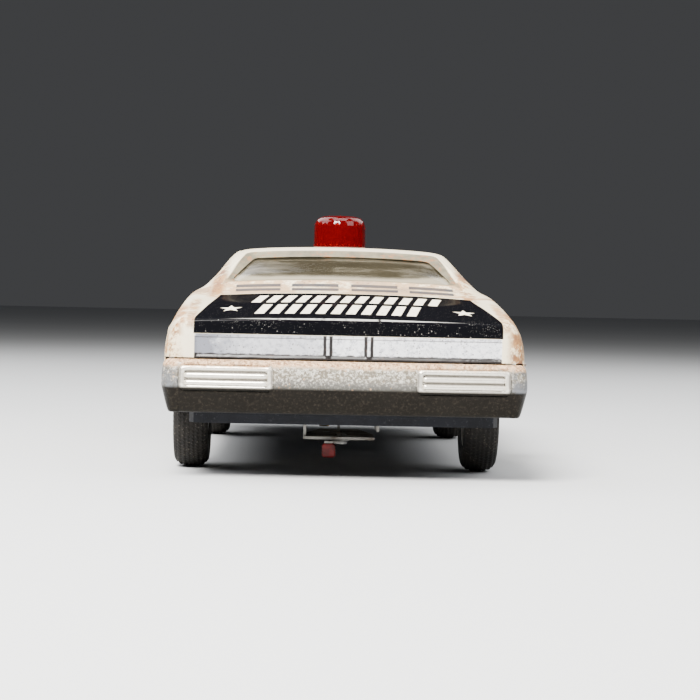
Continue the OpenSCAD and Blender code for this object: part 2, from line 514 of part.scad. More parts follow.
// point of an involute from a base circle, at the given radius, turned by the given angle
function involute_point(base, radius, turn) =
    let (roll = radius > base ? sqrt(radius * radius / (base * base) - 1) : 0,
         angle = roll * 180 / PI - atan(roll) + turn)
    radius * [cos(angle), sin(angle)];
function gear_points(teeth, module_size, addendum, dedendum, phase) =
    let (pitch = teeth * module_size / 2, base = pitch * cos(pressure_angle), tip = pitch + addendum * module_size,
         root = pitch - dedendum * module_size,
         spread = tan(pressure_angle) * 180 / PI - pressure_angle, half = 90 * slack / teeth,
         low = max(root, base), flank = [low, (low + tip) / 2, tip])
    [for (k = [0:teeth - 1]) let (middle = phase + k * 360 / teeth) each concat(
        root < base ? [root * [cos(middle - half - spread), sin(middle - half - spread)]] : [],
        [for (r = flank) involute_point(base, r, middle - half - spread)],
        [for (i = [2:-1:0]) let (p = involute_point(base, flank[i], -half - spread))
            [p[0] * cos(middle) + p[1] * sin(middle), p[0] * sin(middle) - p[1] * cos(middle)]],
        root < base ? [root * [cos(middle + half + spread), sin(middle + half + spread)]] : [])];
// the phase at which a gear at q meshes with a gear at p
function mesh_phase(p, p_teeth, p_phase, q, q_teeth) =
    let (line = atan2(q[1] - p[1], q[0] - p[0]))
    line + 180 + (line - p_phase) * p_teeth / q_teeth + 180 / q_teeth;
wheel_addendum = 0.6;
wheel_dedendum = 1.35;
pinion_addendum = 1.1;
pinion_dedendum = 0.9;
module gear_at(at, x0, x1, bore, points) {
    across(x0, x1) translate(at) difference() {
        polygon(points);
        circle(r = bore);
    }
}
second_pinion_phase = mesh_phase(arbor_at, great_teeth, 0, second_at, pinion_teeth);
third_pinion_phase = mesh_phase(second_at, second_teeth, 0, third_at, pinion_teeth);
axle_pinion_phase = mesh_phase(third_at, third_teeth, 0, axle_at, axle_pinion_teeth);
great_x = [0.6, 1.8];
ratchet_x = [-0.7, 0.3];
click_stud_at = arbor_at + 10.4 * [cos(200), sin(200)];
click_stud_radius = 0.8;

module great_wheel() color("goldenrod") {
    difference() {
        gear_at(arbor_at, great_x[0], great_x[1], arbor_radius + running_gap,
            gear_points(great_teeth, coarse_module, wheel_addendum, wheel_dedendum, 0));
        for (turn = [20, 110, 290]) cross_rod(3, 0, 3, arbor_y + 8 * cos(turn), arbor_height + 8 * sin(turn));
    }
    cross_rod(click_stud_radius, ratchet_x[0] - 0.4, great_x[0], click_stud_at[0], click_stud_at[1]);
    cross_rod(0.5, ratchet_x[0] - 0.2, great_x[0], spring_post_at[0], spring_post_at[1]);
}
module second_wheel() color("goldenrod") difference() {
    gear_at(second_at, 4.4, 5.4, pivot_radius,
        gear_points(second_teeth, fine_module, wheel_addendum, wheel_dedendum, 0));
    for (turn = [45:90:315]) cross_rod(2.2, 4, 6, second_at[0] + 5.8 * cos(turn), second_at[1] + 5.8 * sin(turn));
}
module second_pinion() color("silver") {
    cross_rod(pivot_radius, -plate_out - 0.3, plate_out + 0.3, second_at[0], second_at[1]);
    gear_at(second_at, -0.4, 2.8, pivot_radius - 0.1,
        gear_points(pinion_teeth, coarse_module, pinion_addendum, pinion_dedendum, second_pinion_phase));
}
module third_wheel() color("goldenrod") gear_at(third_at, -5.5, -4.5, pivot_radius,
    gear_points(third_teeth, fine_module, wheel_addendum, wheel_dedendum, 0));
module third_pinion() color("silver") {
    cross_rod(pivot_radius, -plate_out - 0.3, plate_out + 0.3, third_at[0], third_at[1]);
    gear_at(third_at, 3.4, 6.4, pivot_radius - 0.1,
        gear_points(pinion_teeth, fine_module, pinion_addendum, pinion_dedendum, third_pinion_phase));
}
module axle_pinion() color("goldenrod") gear_at(axle_at, -6.5, -3.5, axle_radius,
    gear_points(axle_pinion_teeth, fine_module, pinion_addendum, pinion_dedendum, axle_pinion_phase));

// Winding -------------------------------------------------------------
ratchet_teeth = 12;
ratchet_radius = 5.2;
ratchet_root = 4;
module ratchet_wheel() color("silver") across(ratchet_x[0], ratchet_x[1]) translate(arbor_at) difference() {
    polygon([for (k = [0:ratchet_teeth - 1]) let (turn = k * 360 / ratchet_teeth) each
        [ratchet_radius * [cos(turn), sin(turn)], ratchet_root * [cos(turn), sin(turn)]]]);
    circle(r = arbor_radius);
}
// the click turns on its stud, and its nose hangs just clear of the ratchet teeth
nose_at = arbor_at + (ratchet_radius + 0.9) * [cos(150), sin(150)];
module click() color("silver") across(ratchet_x[0], ratchet_x[1]) difference() {
    hull() {
        translate(click_stud_at) circle(r = 1.9);
        translate(nose_at) circle(r = 0.5);
    }
    translate(click_stud_at) circle(r = click_stud_radius + 0.07);
}
spring_post_at = arbor_at + 12.2 * [cos(225), sin(225)];
module click_spring() color("silver") across(ratchet_x[0], ratchet_x[1]) difference() {
    translate(spring_post_at) hull() {
        circle(r = 0.9);
        translate(2.7 * [cos(105), sin(105)]) circle(r = 0.2);
    }
    translate(spring_post_at) circle(r = 0.5);
}
spring_turns = 6;
spring_inner = arbor_radius + 0.6;
spring_outer = 13.4;
spring_thick = 0.5;
spring_steps = spring_turns * 24;
hook_turn = atan2(pillars_at[0][1] - arbor_at[1], pillars_at[0][0] - arbor_at[0]);
hook_reach = norm(pillars_at[0] - arbor_at) - pillar_radius;
function spiral_point(k, depth) =
    let (share = k / spring_steps, turn = hook_turn - 360 * spring_turns * (1 - share),
         r = spring_inner + (spring_outer - spring_inner) * share + depth)
    r * [cos(turn), sin(turn)];
// the outer end is bent out to the pillar that it hooks on
module mainspring() color("steelblue") across(-9.6, -2.6) translate(arbor_at) polygon(concat(
    [for (k = [0:spring_steps]) spiral_point(k, 0)],
    [hook_reach * [cos(hook_turn), sin(hook_turn)], hook_reach * [cos(hook_turn - 2), sin(hook_turn - 2)]],
    [(spring_outer + spring_thick) * [cos(hook_turn - 3), sin(hook_turn - 3)]],
    [for (k = [spring_steps - 1:-1:0]) spiral_point(k, spring_thick)]));
key_in = 53.4;
key_out = 60.8;
module winding_arbor() color("silver") {
    cross_rod(arbor_radius, -plate_out - 0.4, key_in, arbor_y, arbor_height);
    cross_rod(2.2, plate_out + 0.3, plate_out + 1.3, arbor_y, arbor_height);
}
module winding_key() color("silver") difference() {
    union() {
        cross_rod(2.5, 46, key_in, arbor_y, arbor_height);
        translate([key_in, arbor_y, arbor_height]) rotate([0, 90, 0]) linear_extrude(key_out - key_in)
            square([1.2, 5], center = true);
        for (side = [-1, 1]) translate([(key_in + key_out) / 2 + 0.2, arbor_y + side * 6.2, arbor_height])
            cylinder(r = 3.5, h = 1.2, center = true);
        translate([key_in - 0.2, arbor_y - 6, arbor_height - 0.6]) cube([5.6, 12, 1.2]);
    }
    cross_rod(arbor_radius, 40, key_in, arbor_y, arbor_height);
    for (side = [-1, 1]) translate([(key_in + key_out) / 2 + 0.2, arbor_y + side * 6.2, arbor_height])
        cylinder(r = 1.9, h = 4, center = true);
}

// Stop lever ----------------------------------------------------------
lever_top = bridge_height - 0.3;
tab_x = [-5.9, -1.75];
tongue_width = 2.55;
tongue_y = rear_axle_y - 19.5;
tab_bottom = 4.8;
finger_x = -0.4;
finger_y = (finger_slot[0][1] + finger_slot[1][1]) / 2;
module stop_lever() color("silver") {
    difference() {
        translate([0, 0, lever_top - 0.6]) linear_extrude(0.6) union() {
            hull() {
                translate(lever_rivet_at) circle(r = 2.6);
                translate([finger_x, finger_y]) circle(r = 1.2);
            }
            hull() {
                translate(lever_rivet_at) circle(r = 2.6);
                translate([tab_x[0] + 0.8, tongue_y]) square([tongue_width, 0.8]);
            }
        }
        translate([lever_rivet_at[0], lever_rivet_at[1], 5]) cylinder(r = 1.05 + 0.05, h = 6);
    }
    // finger that reaches up beside the third wheel
    translate([finger_x - 0.4, finger_y - 0.6, lever_top - 0.6]) cube([0.8, 1.2, 10.6]);
    // tongue inside the red tab
    translate([tab_x[0] + 0.8, tongue_y, tab_bottom + 0.8])
        cube([tongue_width, 0.6, lever_top - tab_bottom - 0.8]);
}
module lever_tab() color("firebrick") difference() {
    hull() {
        for (x = [tab_x[0] + 1, tab_x[1] - 1]) translate([x, tongue_y + 0.3, tab_bottom + 1])
            rotate([90, 0, 0]) cylinder(r = 1, h = 1.6, center = true);
        translate([tab_x[0], tongue_y - 0.5, lever_top - 1.7]) cube([tab_x[1] - tab_x[0], 1.6, 1.05]);
    }
    translate([tab_x[0] + 0.8, tongue_y, tab_bottom + 0.8]) cube([tongue_width, 0.6, 10]);
}
module lever_rivet() color("silver") translate([lever_rivet_at[0], lever_rivet_at[1], 0]) {
    translate([0, 0, lever_top - 1.5]) cylinder(r = 1.8, h = 0.6);
    translate([0, 0, lever_top - 0.9]) cylinder(r = 1.02, h = bridge_height + plate_thick - lever_top + 0.9);
    translate([0, 0, bridge_height + plate_thick]) cylinder(r = 1.8, h = 0.5);
}

// Parts ---------------------------------------------------------------
body_shell();
rear_window();
windscreen();
side_window_left();
side_window_right();
chassis_pan();
rear_bumper();
front_bumper();
grille();
interior_tray();
rear_seat();
front_seat();
dashboard();
steering_wheel();
beacon_base();
beacon_dome();
beacon_rivet();
tyre_rear_left();
tyre_rear_right();
tyre_front_left();
tyre_front_right();
wheel_disc_rear_left();
wheel_disc_rear_right();
wheel_disc_front_left();
wheel_disc_front_right();
hubcap_rear_left();
hubcap_rear_right();
hubcap_front_left();
hubcap_front_right();
rear_axle();
front_axle();
front_axle_bracket();
bracket_rivets();
motor_frame();
motor_plate_right();
motor_pillars();
motor_rivets();
great_wheel();
second_wheel();
second_pinion();
third_wheel();
third_pinion();
axle_pinion();
ratchet_wheel();
click();
click_spring();
mainspring();
winding_arbor();
winding_key();
stop_lever();
lever_tab();
lever_rivet();
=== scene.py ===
"""Looks of the clockwork tin patrol car: dense pressed-tin surfaces, litho paint, plating and wear.

Shapes are worked out in millimetres in the car's own frame and turned into metres when a mesh is made.
"""
import math
from functools import partialmethod

import bmesh
import bpy
import numpy as np
from mathutils import Matrix, Vector


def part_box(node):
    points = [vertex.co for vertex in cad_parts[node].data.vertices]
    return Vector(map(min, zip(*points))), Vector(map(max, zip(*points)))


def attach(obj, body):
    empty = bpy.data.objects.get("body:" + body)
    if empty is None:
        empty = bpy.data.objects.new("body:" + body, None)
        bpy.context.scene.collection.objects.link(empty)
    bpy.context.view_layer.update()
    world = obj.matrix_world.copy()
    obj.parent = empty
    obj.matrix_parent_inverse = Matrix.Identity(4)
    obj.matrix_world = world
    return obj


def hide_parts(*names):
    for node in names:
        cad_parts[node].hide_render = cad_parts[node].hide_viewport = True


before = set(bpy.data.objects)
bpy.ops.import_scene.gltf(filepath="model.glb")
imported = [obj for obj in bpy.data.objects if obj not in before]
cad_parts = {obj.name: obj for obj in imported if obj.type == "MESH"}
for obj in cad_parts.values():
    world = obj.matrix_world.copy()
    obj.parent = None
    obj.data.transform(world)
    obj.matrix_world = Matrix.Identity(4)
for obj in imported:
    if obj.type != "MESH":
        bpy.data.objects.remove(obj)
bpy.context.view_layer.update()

MM = 0.001
PER_METRE = 1000


def node_box(node):
    """The lowest and highest corner of a CAD node, in millimetres."""
    low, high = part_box(node)
    return np.array(low) / MM, np.array(high) / MM


# ---------------------------------------------------------------- places taken from the CAD nodes
tyre_low, tyre_high = node_box("tyre_rear_right")
rear_axle_y = (tyre_low[1] + tyre_high[1]) / 2
wheel_radius = (tyre_high[2] - tyre_low[2]) / 2
rear_slide = (tyre_high[0] + node_box("tyre_rear_left")[0][0]) / 2
wheel_reach = tyre_high[0] - rear_slide
tyre_width = tyre_high[0] - tyre_low[0]
front_low, front_high = node_box("tyre_front_right")
front_axle_y = (front_low[1] + front_high[1]) / 2
bumper_low, bumper_high = node_box("rear_bumper")
bumper_back = bumper_low[1]
bumper_half = bumper_high[0]
key_low, key_high = node_box("winding_key")
key_y = (key_low[1] + key_high[1]) / 2
key_z = (key_low[2] + key_high[2]) / 2
dome_low, dome_high = node_box("beacon_dome")
beacon_y = (dome_low[1] + dome_high[1]) / 2
beacon_radius = (dome_high[0] - dome_low[0]) / 2
tin = 0.5  # thickness of the body's sheet

# ---------------------------------------------------------------- camera, floor and light
camera_data = bpy.data.cameras.new("camera")
camera_data.lens = 108.9
camera_data.sensor_width = 36
camera_data.clip_end = 50
camera_place = (-13.8, bumper_back - 600, 53.2)  # a little left of the middle, 600 mm behind the bumper
camera = bpy.data.objects.new("camera", camera_data)
bpy.context.scene.collection.objects.link(camera)
camera_yaw = math.radians(-1.43)
camera_pitch = math.radians(-1.46)
camera_roll = math.radians(1.2)
camera.matrix_world = (
    Matrix.Translation(Vector(camera_place) * MM)
    @ Matrix.Rotation(camera_yaw, 4, "Z")
    @ Matrix.Rotation(math.radians(90) + camera_pitch, 4, "X")
    @ Matrix.Rotation(camera_roll, 4, "Z")
)
bpy.context.scene.camera = camera


def area_light(name, place, target, size, watts, colour=(1, 1, 1)):
    """A soft square light that faces a target; places in millimetres."""
    data = bpy.data.lights.new(name, "AREA")
    data.size = size
    data.energy = watts
    data.color = colour
    light = bpy.data.objects.new(name, data)
    bpy.context.scene.collection.objects.link(light)
    aim = (Vector(target) - Vector(place)).to_track_quat("-Z", "Y").to_matrix().to_4x4()
    light.matrix_world = Matrix.Translation(Vector(place) * MM) @ aim


area_light("key_light", (-200, -600, 640), (0, -110, 40), 0.34, 31, (1, 0.975, 0.93))
area_light("right_light", (520, -360, 540), (0, -80, 40), 0.5, 3.5)
area_light("left_light", (-560, -60, 580), (0, -20, 40), 0.5, 4)
area_light("front_left_light", (-450, 540, 680), (0, 60, 30), 0.7, 7)
area_light("front_right_light", (520, 480, 620), (0, 60, 30), 0.7, 5)
area_light("top_light", (0, -40, 950), (0, 0, 40), 0.6, 6)
world = bpy.data.worlds.new("studio")
world.use_nodes = True
world.node_tree.nodes["Background"].inputs["Color"].default_value = (0.93, 0.95, 1, 1)
world.node_tree.nodes["Background"].inputs["Strength"].default_value = 0.06
bpy.context.scene.world = world


# ---------------------------------------------------------------- node maths for materials
class Value:
    """A number, colour or vector socket in a material, with arithmetic that adds Math nodes."""

    def __init__(self, paint, socket):
        self.paint = paint
        self.socket = socket

    def math(self, operation, *others):
        node = self.paint.new_node("ShaderNodeMath")
        node.operation = operation
        for place, other in enumerate((self, *others)):
            self.paint.feed(node.inputs[place], other)
        return Value(self.paint, node.outputs[0])

    __add__ = __radd__ = partialmethod(math, "ADD")
    __sub__ = partialmethod(math, "SUBTRACT")
    __mul__ = __rmul__ = partialmethod(math, "MULTIPLY")
    abs = partialmethod(math, "ABSOLUTE")
    min = partialmethod(math, "MINIMUM")
    max = partialmethod(math, "MAXIMUM")
    modulo = partialmethod(math, "FLOORED_MODULO")

    def __rsub__(self, other):
        return (self * -1) + other

    def above(self, edge, soft=0.05):
        """0 below the edge and 1 above it, with a soft step."""
        node = self.paint.new_node("ShaderNodeMapRange")
        node.interpolation_type = "SMOOTHSTEP"
        self.paint.feed(node.inputs["Value"], self)
        node.inputs["From Min"].default_value = edge - soft
        node.inputs["From Max"].default_value = edge + soft
        return Value(self.paint, node.outputs[0])

    def below(self, edge, soft=0.05):
        return 1 - self.above(edge, soft)

    def between(self, low, high, soft=0.05):
        return self.above(low, soft) * self.below(high, soft)


class Paint:
    """Builds one procedural material. Lengths are in millimetres in the car's frame."""

    def __init__(self, name, **uniform):
        self.material = bpy.data.materials.new(name)
        self.material.use_nodes = True
        self.tree = self.material.node_tree
        self.shader = self.tree.nodes["Principled BSDF"]
        self.colour = None
        for socket, value in uniform.items():
            self.shader.inputs[socket.replace("_", " ")].default_value = value
        place = self.new_node("ShaderNodeTexCoord")
        self.place = Value(self, place.outputs["Object"])
        split = self.new_node("ShaderNodeSeparateXYZ")
        self.feed(split.inputs[0], self.place)
        self.x, self.y, self.z = (Value(self, split.outputs[i]) * PER_METRE for i in range(3))

    def new_node(self, kind):
        return self.tree.nodes.new(kind)

    def feed(self, socket, value):
        if isinstance(value, Value):
            self.tree.links.new(value.socket, socket)
        elif hasattr(socket.default_value, "__len__") and not hasattr(value, "__len__"):
            socket.default_value = [value] * len(socket.default_value)
        else:
            socket.default_value = value

    def texture(self, kind, size, shift, stretch=(1, 1, 1)):
        """A texture node with features of about size millimetres, moved by the shift."""
        mapping = self.new_node("ShaderNodeMapping")
        self.feed(mapping.inputs["Vector"], self.place)
        mapping.inputs["Scale"].default_value = stretch
        mapping.inputs["Location"].default_value = shift
        node = self.new_node(kind)
        self.tree.links.new(mapping.outputs[0], node.inputs["Vector"])
        node.inputs["Scale"].default_value = PER_METRE / size
        return node

    def noise(self, size, detail=4.0, roughness=0.55, stretch=(1, 1, 1), seed=0.0):
        """Noise of 0 to 1 with features of about size millimetres."""
        node = self.texture("ShaderNodeTexNoise", size, (seed, seed * 0.7, -seed * 0.4), stretch)
        node.inputs["Detail"].default_value = detail
        node.inputs["Roughness"].default_value = roughness
        return Value(self, node.outputs["Fac"])

    def specks(self, size, share, seed=0.0):
        """Small round spots: 1 inside a spot, and about that share of the cells has one."""
        node = self.texture("ShaderNodeTexVoronoi", size, (seed, -seed, seed * 0.3))
        cell = self.new_node("ShaderNodeSeparateColor")
        self.tree.links.new(node.outputs["Color"], cell.inputs[0])
        chosen = Value(self, cell.outputs[0]).below(share, 0.001)
        radius = Value(self, cell.outputs[1]) * 0.25 + 0.08
        spot = (radius - Value(self, node.outputs["Distance"])).above(0, 0.06)
        return chosen * spot

    def mix(self, share, low, high):
        """A colour between low and high."""
        node = self.new_node("ShaderNodeMix")
        node.data_type = "RGBA"
        self.feed(node.inputs[0], share)
        for socket, colour in ((node.inputs[6], low), (node.inputs[7], high)):
            self.feed(socket, colour if isinstance(colour, Value) else (*colour, 1))
        return Value(self, node.outputs[2])

    def coat(self, share, colour):
        """Lays another colour over the paint so far."""
        self.colour = self.mix(share, self.colour, colour)

    def finish(self, roughness=None, metallic=None, bump=None, depth=0.1, strength=1.0):
        """The material; depth is how many millimetres the bump stands out."""
        for name, value in (("Base Color", self.colour), ("Roughness", roughness), ("Metallic", metallic)):
            if value is not None:
                self.feed(self.shader.inputs[name], value)
        if bump is not None:
            node = self.new_node("ShaderNodeBump")
            self.feed(node.inputs["Height"], bump)
            node.inputs["Distance"].default_value = depth * MM
            node.inputs["Strength"].default_value = strength
            self.tree.links.new(node.outputs[0], self.shader.inputs["Normal"])
        return self.material


def two_tone(name, noise, light, dark, edge=0.5, soft=0.2, **uniform):
    """A paint of two colours in soft patches, and the noise that parts them."""
    paint = Paint(name, **uniform)
    patches = paint.noise(*noise)
    paint.colour = paint.mix(patches.above(edge, soft), light, dark)
    return paint, patches


# ---------------------------------------------------------------- mesh helpers
def new_object(name, points, faces, materials):
    """A mesh object from points in millimetres."""
    mesh = bpy.data.meshes.new(name)
    mesh.from_pydata((np.asarray(points, float) * MM).tolist(), [], faces)
    for material in materials:
        mesh.materials.append(material)
    mesh.polygons.foreach_set("use_smooth", np.full(len(mesh.polygons), True))
    mesh.update()
    obj = bpy.data.objects.new(name, mesh)
    bpy.context.scene.collection.objects.link(obj)
    return obj


def grid_faces(rows, columns):
    """Quads of a grid of points laid out row by row."""
    i, j = np.meshgrid(np.arange(rows - 1), np.arange(columns - 1), indexing="ij")
    first = i * columns + j
    return np.stack([first, first + 1, first + columns + 1, first + columns], -1).reshape(-1, 4)


def clip_mesh(points, quads, keep):
    """Cuts a quad mesh along keep = 0 and drops the part where keep is negative."""
    inside = keep[quads] > 0
    whole = quads[inside.all(1)]
    faces = whole.tolist()
    extra, made = [], {}

    def crossing(a, b):
        key = (min(a, b), max(a, b))
        if key not in made:
            share = keep[a] / (keep[a] - keep[b])
            made[key] = len(points) + len(extra)
            extra.append(points[a] + (points[b] - points[a]) * share)
        return made[key]

    for quad in quads[inside.any(1) & ~inside.all(1)]:
        face = []
        for a, b in zip(quad, np.roll(quad, -1)):
            if keep[a] > 0:
                face.append(int(a))
            if (keep[a] > 0) != (keep[b] > 0):
                face.append(crossing(int(a), int(b)))
        if len(face) > 2:
            faces.append(face)
    points = np.concatenate([points, np.array(extra).reshape(-1, 3)])
    used = np.unique(np.concatenate([np.array(f) for f in faces]))
    place = np.full(len(points), -1)
    place[used] = np.arange(len(used))
    return points[used], [place[f].tolist() for f in faces]


def step(value, edge, width):
    """Smooth 0 to 1 step of the given width, centred on the edge."""
    t = np.clip((value - edge) / width + 0.5, 0, 1)
    return t * t * (3 - 2 * t)


def band(value, low, high, width):
    return step(value, low, width) * (1 - step(value, high, width))


def outline_distance(px, py, corners, radius=0.0):
    """Signed distance to a closed outline, negative inside; radius swells and rounds it."""
    best = np.full(np.shape(px), 1e9)
    inside = np.zeros(np.shape(px), bool)
    for (ax, ay), (bx, by) in zip(corners, corners[1:] + corners[:1]):
        ex, ey = bx - ax, by - ay
        wx, wy = px - ax, py - ay
        t = np.clip((wx * ex + wy * ey) / (ex * ex + ey * ey), 0, 1)
        best = np.minimum(best, np.hypot(wx - ex * t, wy - ey * t))
        crosses = (ay > py) != (by > py)
        side = np.where(crosses, (bx - ax) * (py - ay) / (by - ay if by != ay else 1) + ax, 0)
        inside ^= crosses & (px < side)
    return np.where(inside, -best, best) - radius


def rounded_box(px, py, low, high, radius):
    """Signed distance to a box between two corners with rounded corners, negative inside."""
    qx = np.abs(px - (low[0] + high[0]) / 2) - (high[0] - low[0]) / 2 + radius
    qy = np.abs(py - (low[1] + high[1]) / 2) - (high[1] - low[1]) / 2 + radius
    return np.hypot(np.maximum(qx, 0), np.maximum(qy, 0)) + np.minimum(np.maximum(qx, qy), 0) - radius


def thicken(obj, depth):
    """Gives a sheet its thickness, on the inside."""
    sheet = obj.modifiers.new("thickness", "SOLIDIFY")
    sheet.thickness = depth * MM
    sheet.offset = -1
    return sheet


def piece(obj, body, slot, *nodes):
    """Parents a new piece to the body that it rides on and hides the CAD nodes that it stands for; the slot
    is not used.
    """
    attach(obj, body)
    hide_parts(*nodes)
    return obj


# ---------------------------------------------------------------- body surface
# The same net as the CAD shell: sections along the car, each with its y, then the half widths and the heights
# of eleven points from the sill, up the side, over the wing crest, belt and pillar, to the centre line.
# LOW is the three lowest heights, the same from the boot lid to the bonnet.
LOW = (19.4, 27, 34.5)
BODY_NET = [
    # tail panel
    (-136, (44, 38, 32, 27, 22, 18, 14, 11, 8, 4, 0), (19.4,) * 11),
    (-136, (44.4, 43, 41.5, 39.5, 36, 31, 26, 21, 15, 7.5, 0),
     (19.4, 25, 31, 35, 36.5, 37, 37.3, 37.5, 37.6, 37.7, 37.7)),
    (-136, (45.5, 46.3, 46.6, 46, 44.5, 42.8, 38, 31, 22, 11, 0),
     (*LOW, 40.8, 44.4, 45, 45.2, 45.4, 45.6, 45.8, 45.9)),
    (-135.7, (46.6, 48, 48.4, 47.8, 45.7, 43.5, 38, 31, 22, 11, 0),
     (*LOW, 41.2, 45.3, 45.7, 45.9, 46.1, 46.3, 46.5, 46.6)),
    # boot lid between the rear wings
    (-134, (48.6, 51, 51.9, 51.1, 47.9, 44.1, 38, 31, 22, 11, 0),
     (*LOW, 41.6, 46.8, 46.3, 46.4, 46.6, 46.8, 47, 47.1)),
    (-124, (49.6, 51.9, 52.6, 51.8, 48.2, 43.9, 38, 31, 22, 11, 0),
     (*LOW, 42.4, 48.5, 47.6, 47.8, 48, 48.3, 48.5, 48.6)),
    (-106, (49.8, 52.1, 52.8, 52, 48.2, 43.4, 37.6, 31, 22, 11, 0),
     (*LOW, 43, 51, 50, 50.4, 50.8, 51.1, 51.3, 51.4)),
    (-90, (49.8, 52.1, 52.8, 52, 48.2, 42.8, 37.2, 31, 22, 11, 0),
     (*LOW, 43.6, 52.7, 51.6, 52, 52.4, 52.8, 53, 53.1)),
    (-79, (49.6, 51.9, 52.6, 51.8, 48, 43.2, 38, 31, 22, 11, 0),
     (*LOW, 44, 53.7, 53.3, 53.5, 53.9, 54.3, 54.5, 54.6)),
    # rear window and its pillars
    (-70, (49.4, 51.6, 52.3, 51.5, 47.8, 44, 39.4, 34.5, 24, 12, 0),
     (*LOW, 44.2, 54, 54.4, 55.4, 55.9, 56.3, 56.6, 56.7)),
    (-62, (49.2, 51.3, 52, 51.2, 47.6, 44.4, 41.2, 36.8, 30, 15, 0),
     (*LOW, 44.2, 53.8, 54.8, 57.8, 59.6, 60.4, 61, 61.2)),
    (-50, (49, 50.9, 51.5, 50.8, 47.2, 44.4, 39.8, 35.4, 30, 15, 0),
     (*LOW, 44, 53.4, 54.6, 60.2, 64.4, 65.6, 66.4, 66.6)),
    # roof
    (-41, (48.8, 50.6, 51.2, 50.5, 47, 44.4, 39.2, 34.6, 30.4, 15, 0),
     (*LOW, 43.8, 53, 54.2, 61, 67.2, 68.2, 69, 69.2)),
    (-30, (48.6, 50.4, 51, 50.3, 46.9, 44.4, 39.4, 34.6, 30.4, 15, 0),
     (*LOW, 43.6, 52.6, 53.7, 60.8, 67.4, 68.4, 69.2, 69.4)),
    (-8, (48.4, 50.1, 50.7, 50, 46.8, 44.2, 39.6, 34.8, 30.6, 15, 0),
     (*LOW, 43.3, 52, 53, 60.4, 67.4, 68.5, 69.3, 69.5)),
    (14, (48.6, 50.2, 50.8, 50.1, 46.9, 44.2, 39.8, 35, 30.8, 15, 0),
     (*LOW, 42.9, 51.5, 52.5, 59.8, 66.4, 67.6, 68.5, 68.7)),
    # windscreen
    (24, (48.8, 50.4, 51, 50.3, 47, 44.2, 40, 35.8, 31.2, 15.5, 0),
     (*LOW, 42.7, 51.1, 52.1, 58.6, 64.3, 65.7, 66.8, 67)),
    (36, (49, 50.7, 51.3, 50.6, 47.1, 44, 40.6, 37.2, 32, 16, 0),
     (*LOW, 42.5, 50.6, 51.4, 55.8, 59.2, 60.4, 61.8, 62.2)),
    # bonnet between the front wings
    (47, (49.2, 51, 51.7, 50.9, 47.2, 43.6, 40.4, 36, 29, 15, 0),
     (*LOW, 42.2, 50.1, 50.6, 52.2, 53.8, 54.8, 55.8, 56.1)),
    (54, (49.4, 51.2, 51.9, 51.1, 47.2, 42.8, 37.4, 31, 22, 11, 0),
     (*LOW, 41.9, 49.7, 49.7, 50.3, 51.1, 52.1, 52.9, 53.1)),
    (66, (49.6, 51.4, 52.1, 51.3, 47.2, 42.6, 37.2, 31, 22, 11, 0),
     (*LOW, 41.7, 49.2, 48.8, 49.4, 50.2, 51.2, 51.9, 52.1)),
    (88, (49.6, 51.4, 52.1, 51.2, 47.1, 42.3, 37, 31, 22, 11, 0),
     (*LOW, 41.1, 48.2, 47.6, 48.2, 49, 49.9, 50.6, 50.8)),
    (110, (49.2, 51, 51.7, 50.7, 46.5, 42, 36.8, 31, 22, 11, 0),
     (*LOW, 40.3, 46.7, 46, 46.6, 47.2, 48, 48.6, 48.8)),
    (124, (48.4, 50.2, 50.9, 49.7, 45.9, 41.8, 36.6, 31, 22, 11, 0),
     (*LOW, 39.5, 45.3, 44.5, 45, 45.5, 46.1, 46.6, 46.8)),
    # nose panel
    (131.6, (46.8, 48.4, 49, 47.9, 44.7, 41.2, 36.4, 31, 22, 11, 0),
     (*LOW, 38.8, 43.4, 43.2, 43.7, 44.2, 44.8, 45.3, 45.5)),
    (132.8, (45.2, 46.6, 47, 46.1, 43.5, 40.6, 36.2, 31, 22, 11, 0),
     (*LOW, 38.4, 42.2, 42.5, 43, 43.5, 44.1, 44.6, 44.8)),
    (133, (44, 43.6, 42, 40, 36.5, 31.5, 26, 21, 15, 7.5, 0),
     (19.4, 25, 31, 35, 36.5, 36.8, 37, 37.2, 37.4, 37.5, 37.5)),
    (133, (43, 38, 32, 27, 22, 18, 14, 11, 8, 4, 0), (19.4,) * 11),
]
net = np.array([[(x, y, z) for x, z in zip(widths, heights)] for y, widths, heights in BODY_NET], float)


def spline_weights(at, padded, derivative=False):
    """Weights of the padded net points for places of 0 to 1 along a smooth cubic spline."""
    spans = padded - 3
    place = np.clip(np.asarray(at, float), 0, 1) * spans
    first = np.minimum(place.astype(int), spans - 1)
    t = place - first
    if derivative:
        parts = [-3 * (1 - t) ** 2, 9 * t * t - 12 * t, -9 * t * t + 6 * t + 3, 3 * t * t]
    else:
        parts = [(1 - t) ** 3, 3 * t**3 - 6 * t * t + 4, -3 * t**3 + 3 * t * t + 3 * t + 1, t**3]
    weights = np.zeros((len(t), padded))
    for i, part in enumerate(parts):
        weights[np.arange(len(t)), first + i] = part / 6
    return weights


over_centre = net[:, -2:-1] * (-1, 1, 1)
padded_net = np.concatenate([net[:, :1], net[:, :1], net, over_centre], 1)
padded_net = np.concatenate([padded_net[:1], padded_net[:1], padded_net, padded_net[-1:], padded_net[-1:]], 0)
net_rows, net_columns = padded_net.shape[:2]


def body_surface(v, u):
    """Points and outward normals for rows v along the car and columns u from sill to centre line."""
    wv, wu = spline_weights(v, net_rows), spline_weights(u, net_columns)
    dv, du = spline_weights(v, net_rows, True), spline_weights(u, net_columns, True)
    points = np.einsum("ia,abk,jb->ijk", wv, padded_net, wu)
    along = np.einsum("ia,abk,jb->ijk", dv, padded_net, wu)
    across = np.einsum("ia,abk,jb->ijk", wv, padded_net, du)
    normals = np.cross(along, across)
    length = np.linalg.norm(normals, axis=2, keepdims=True)
    return points, normals / np.maximum(length, 1e-9)


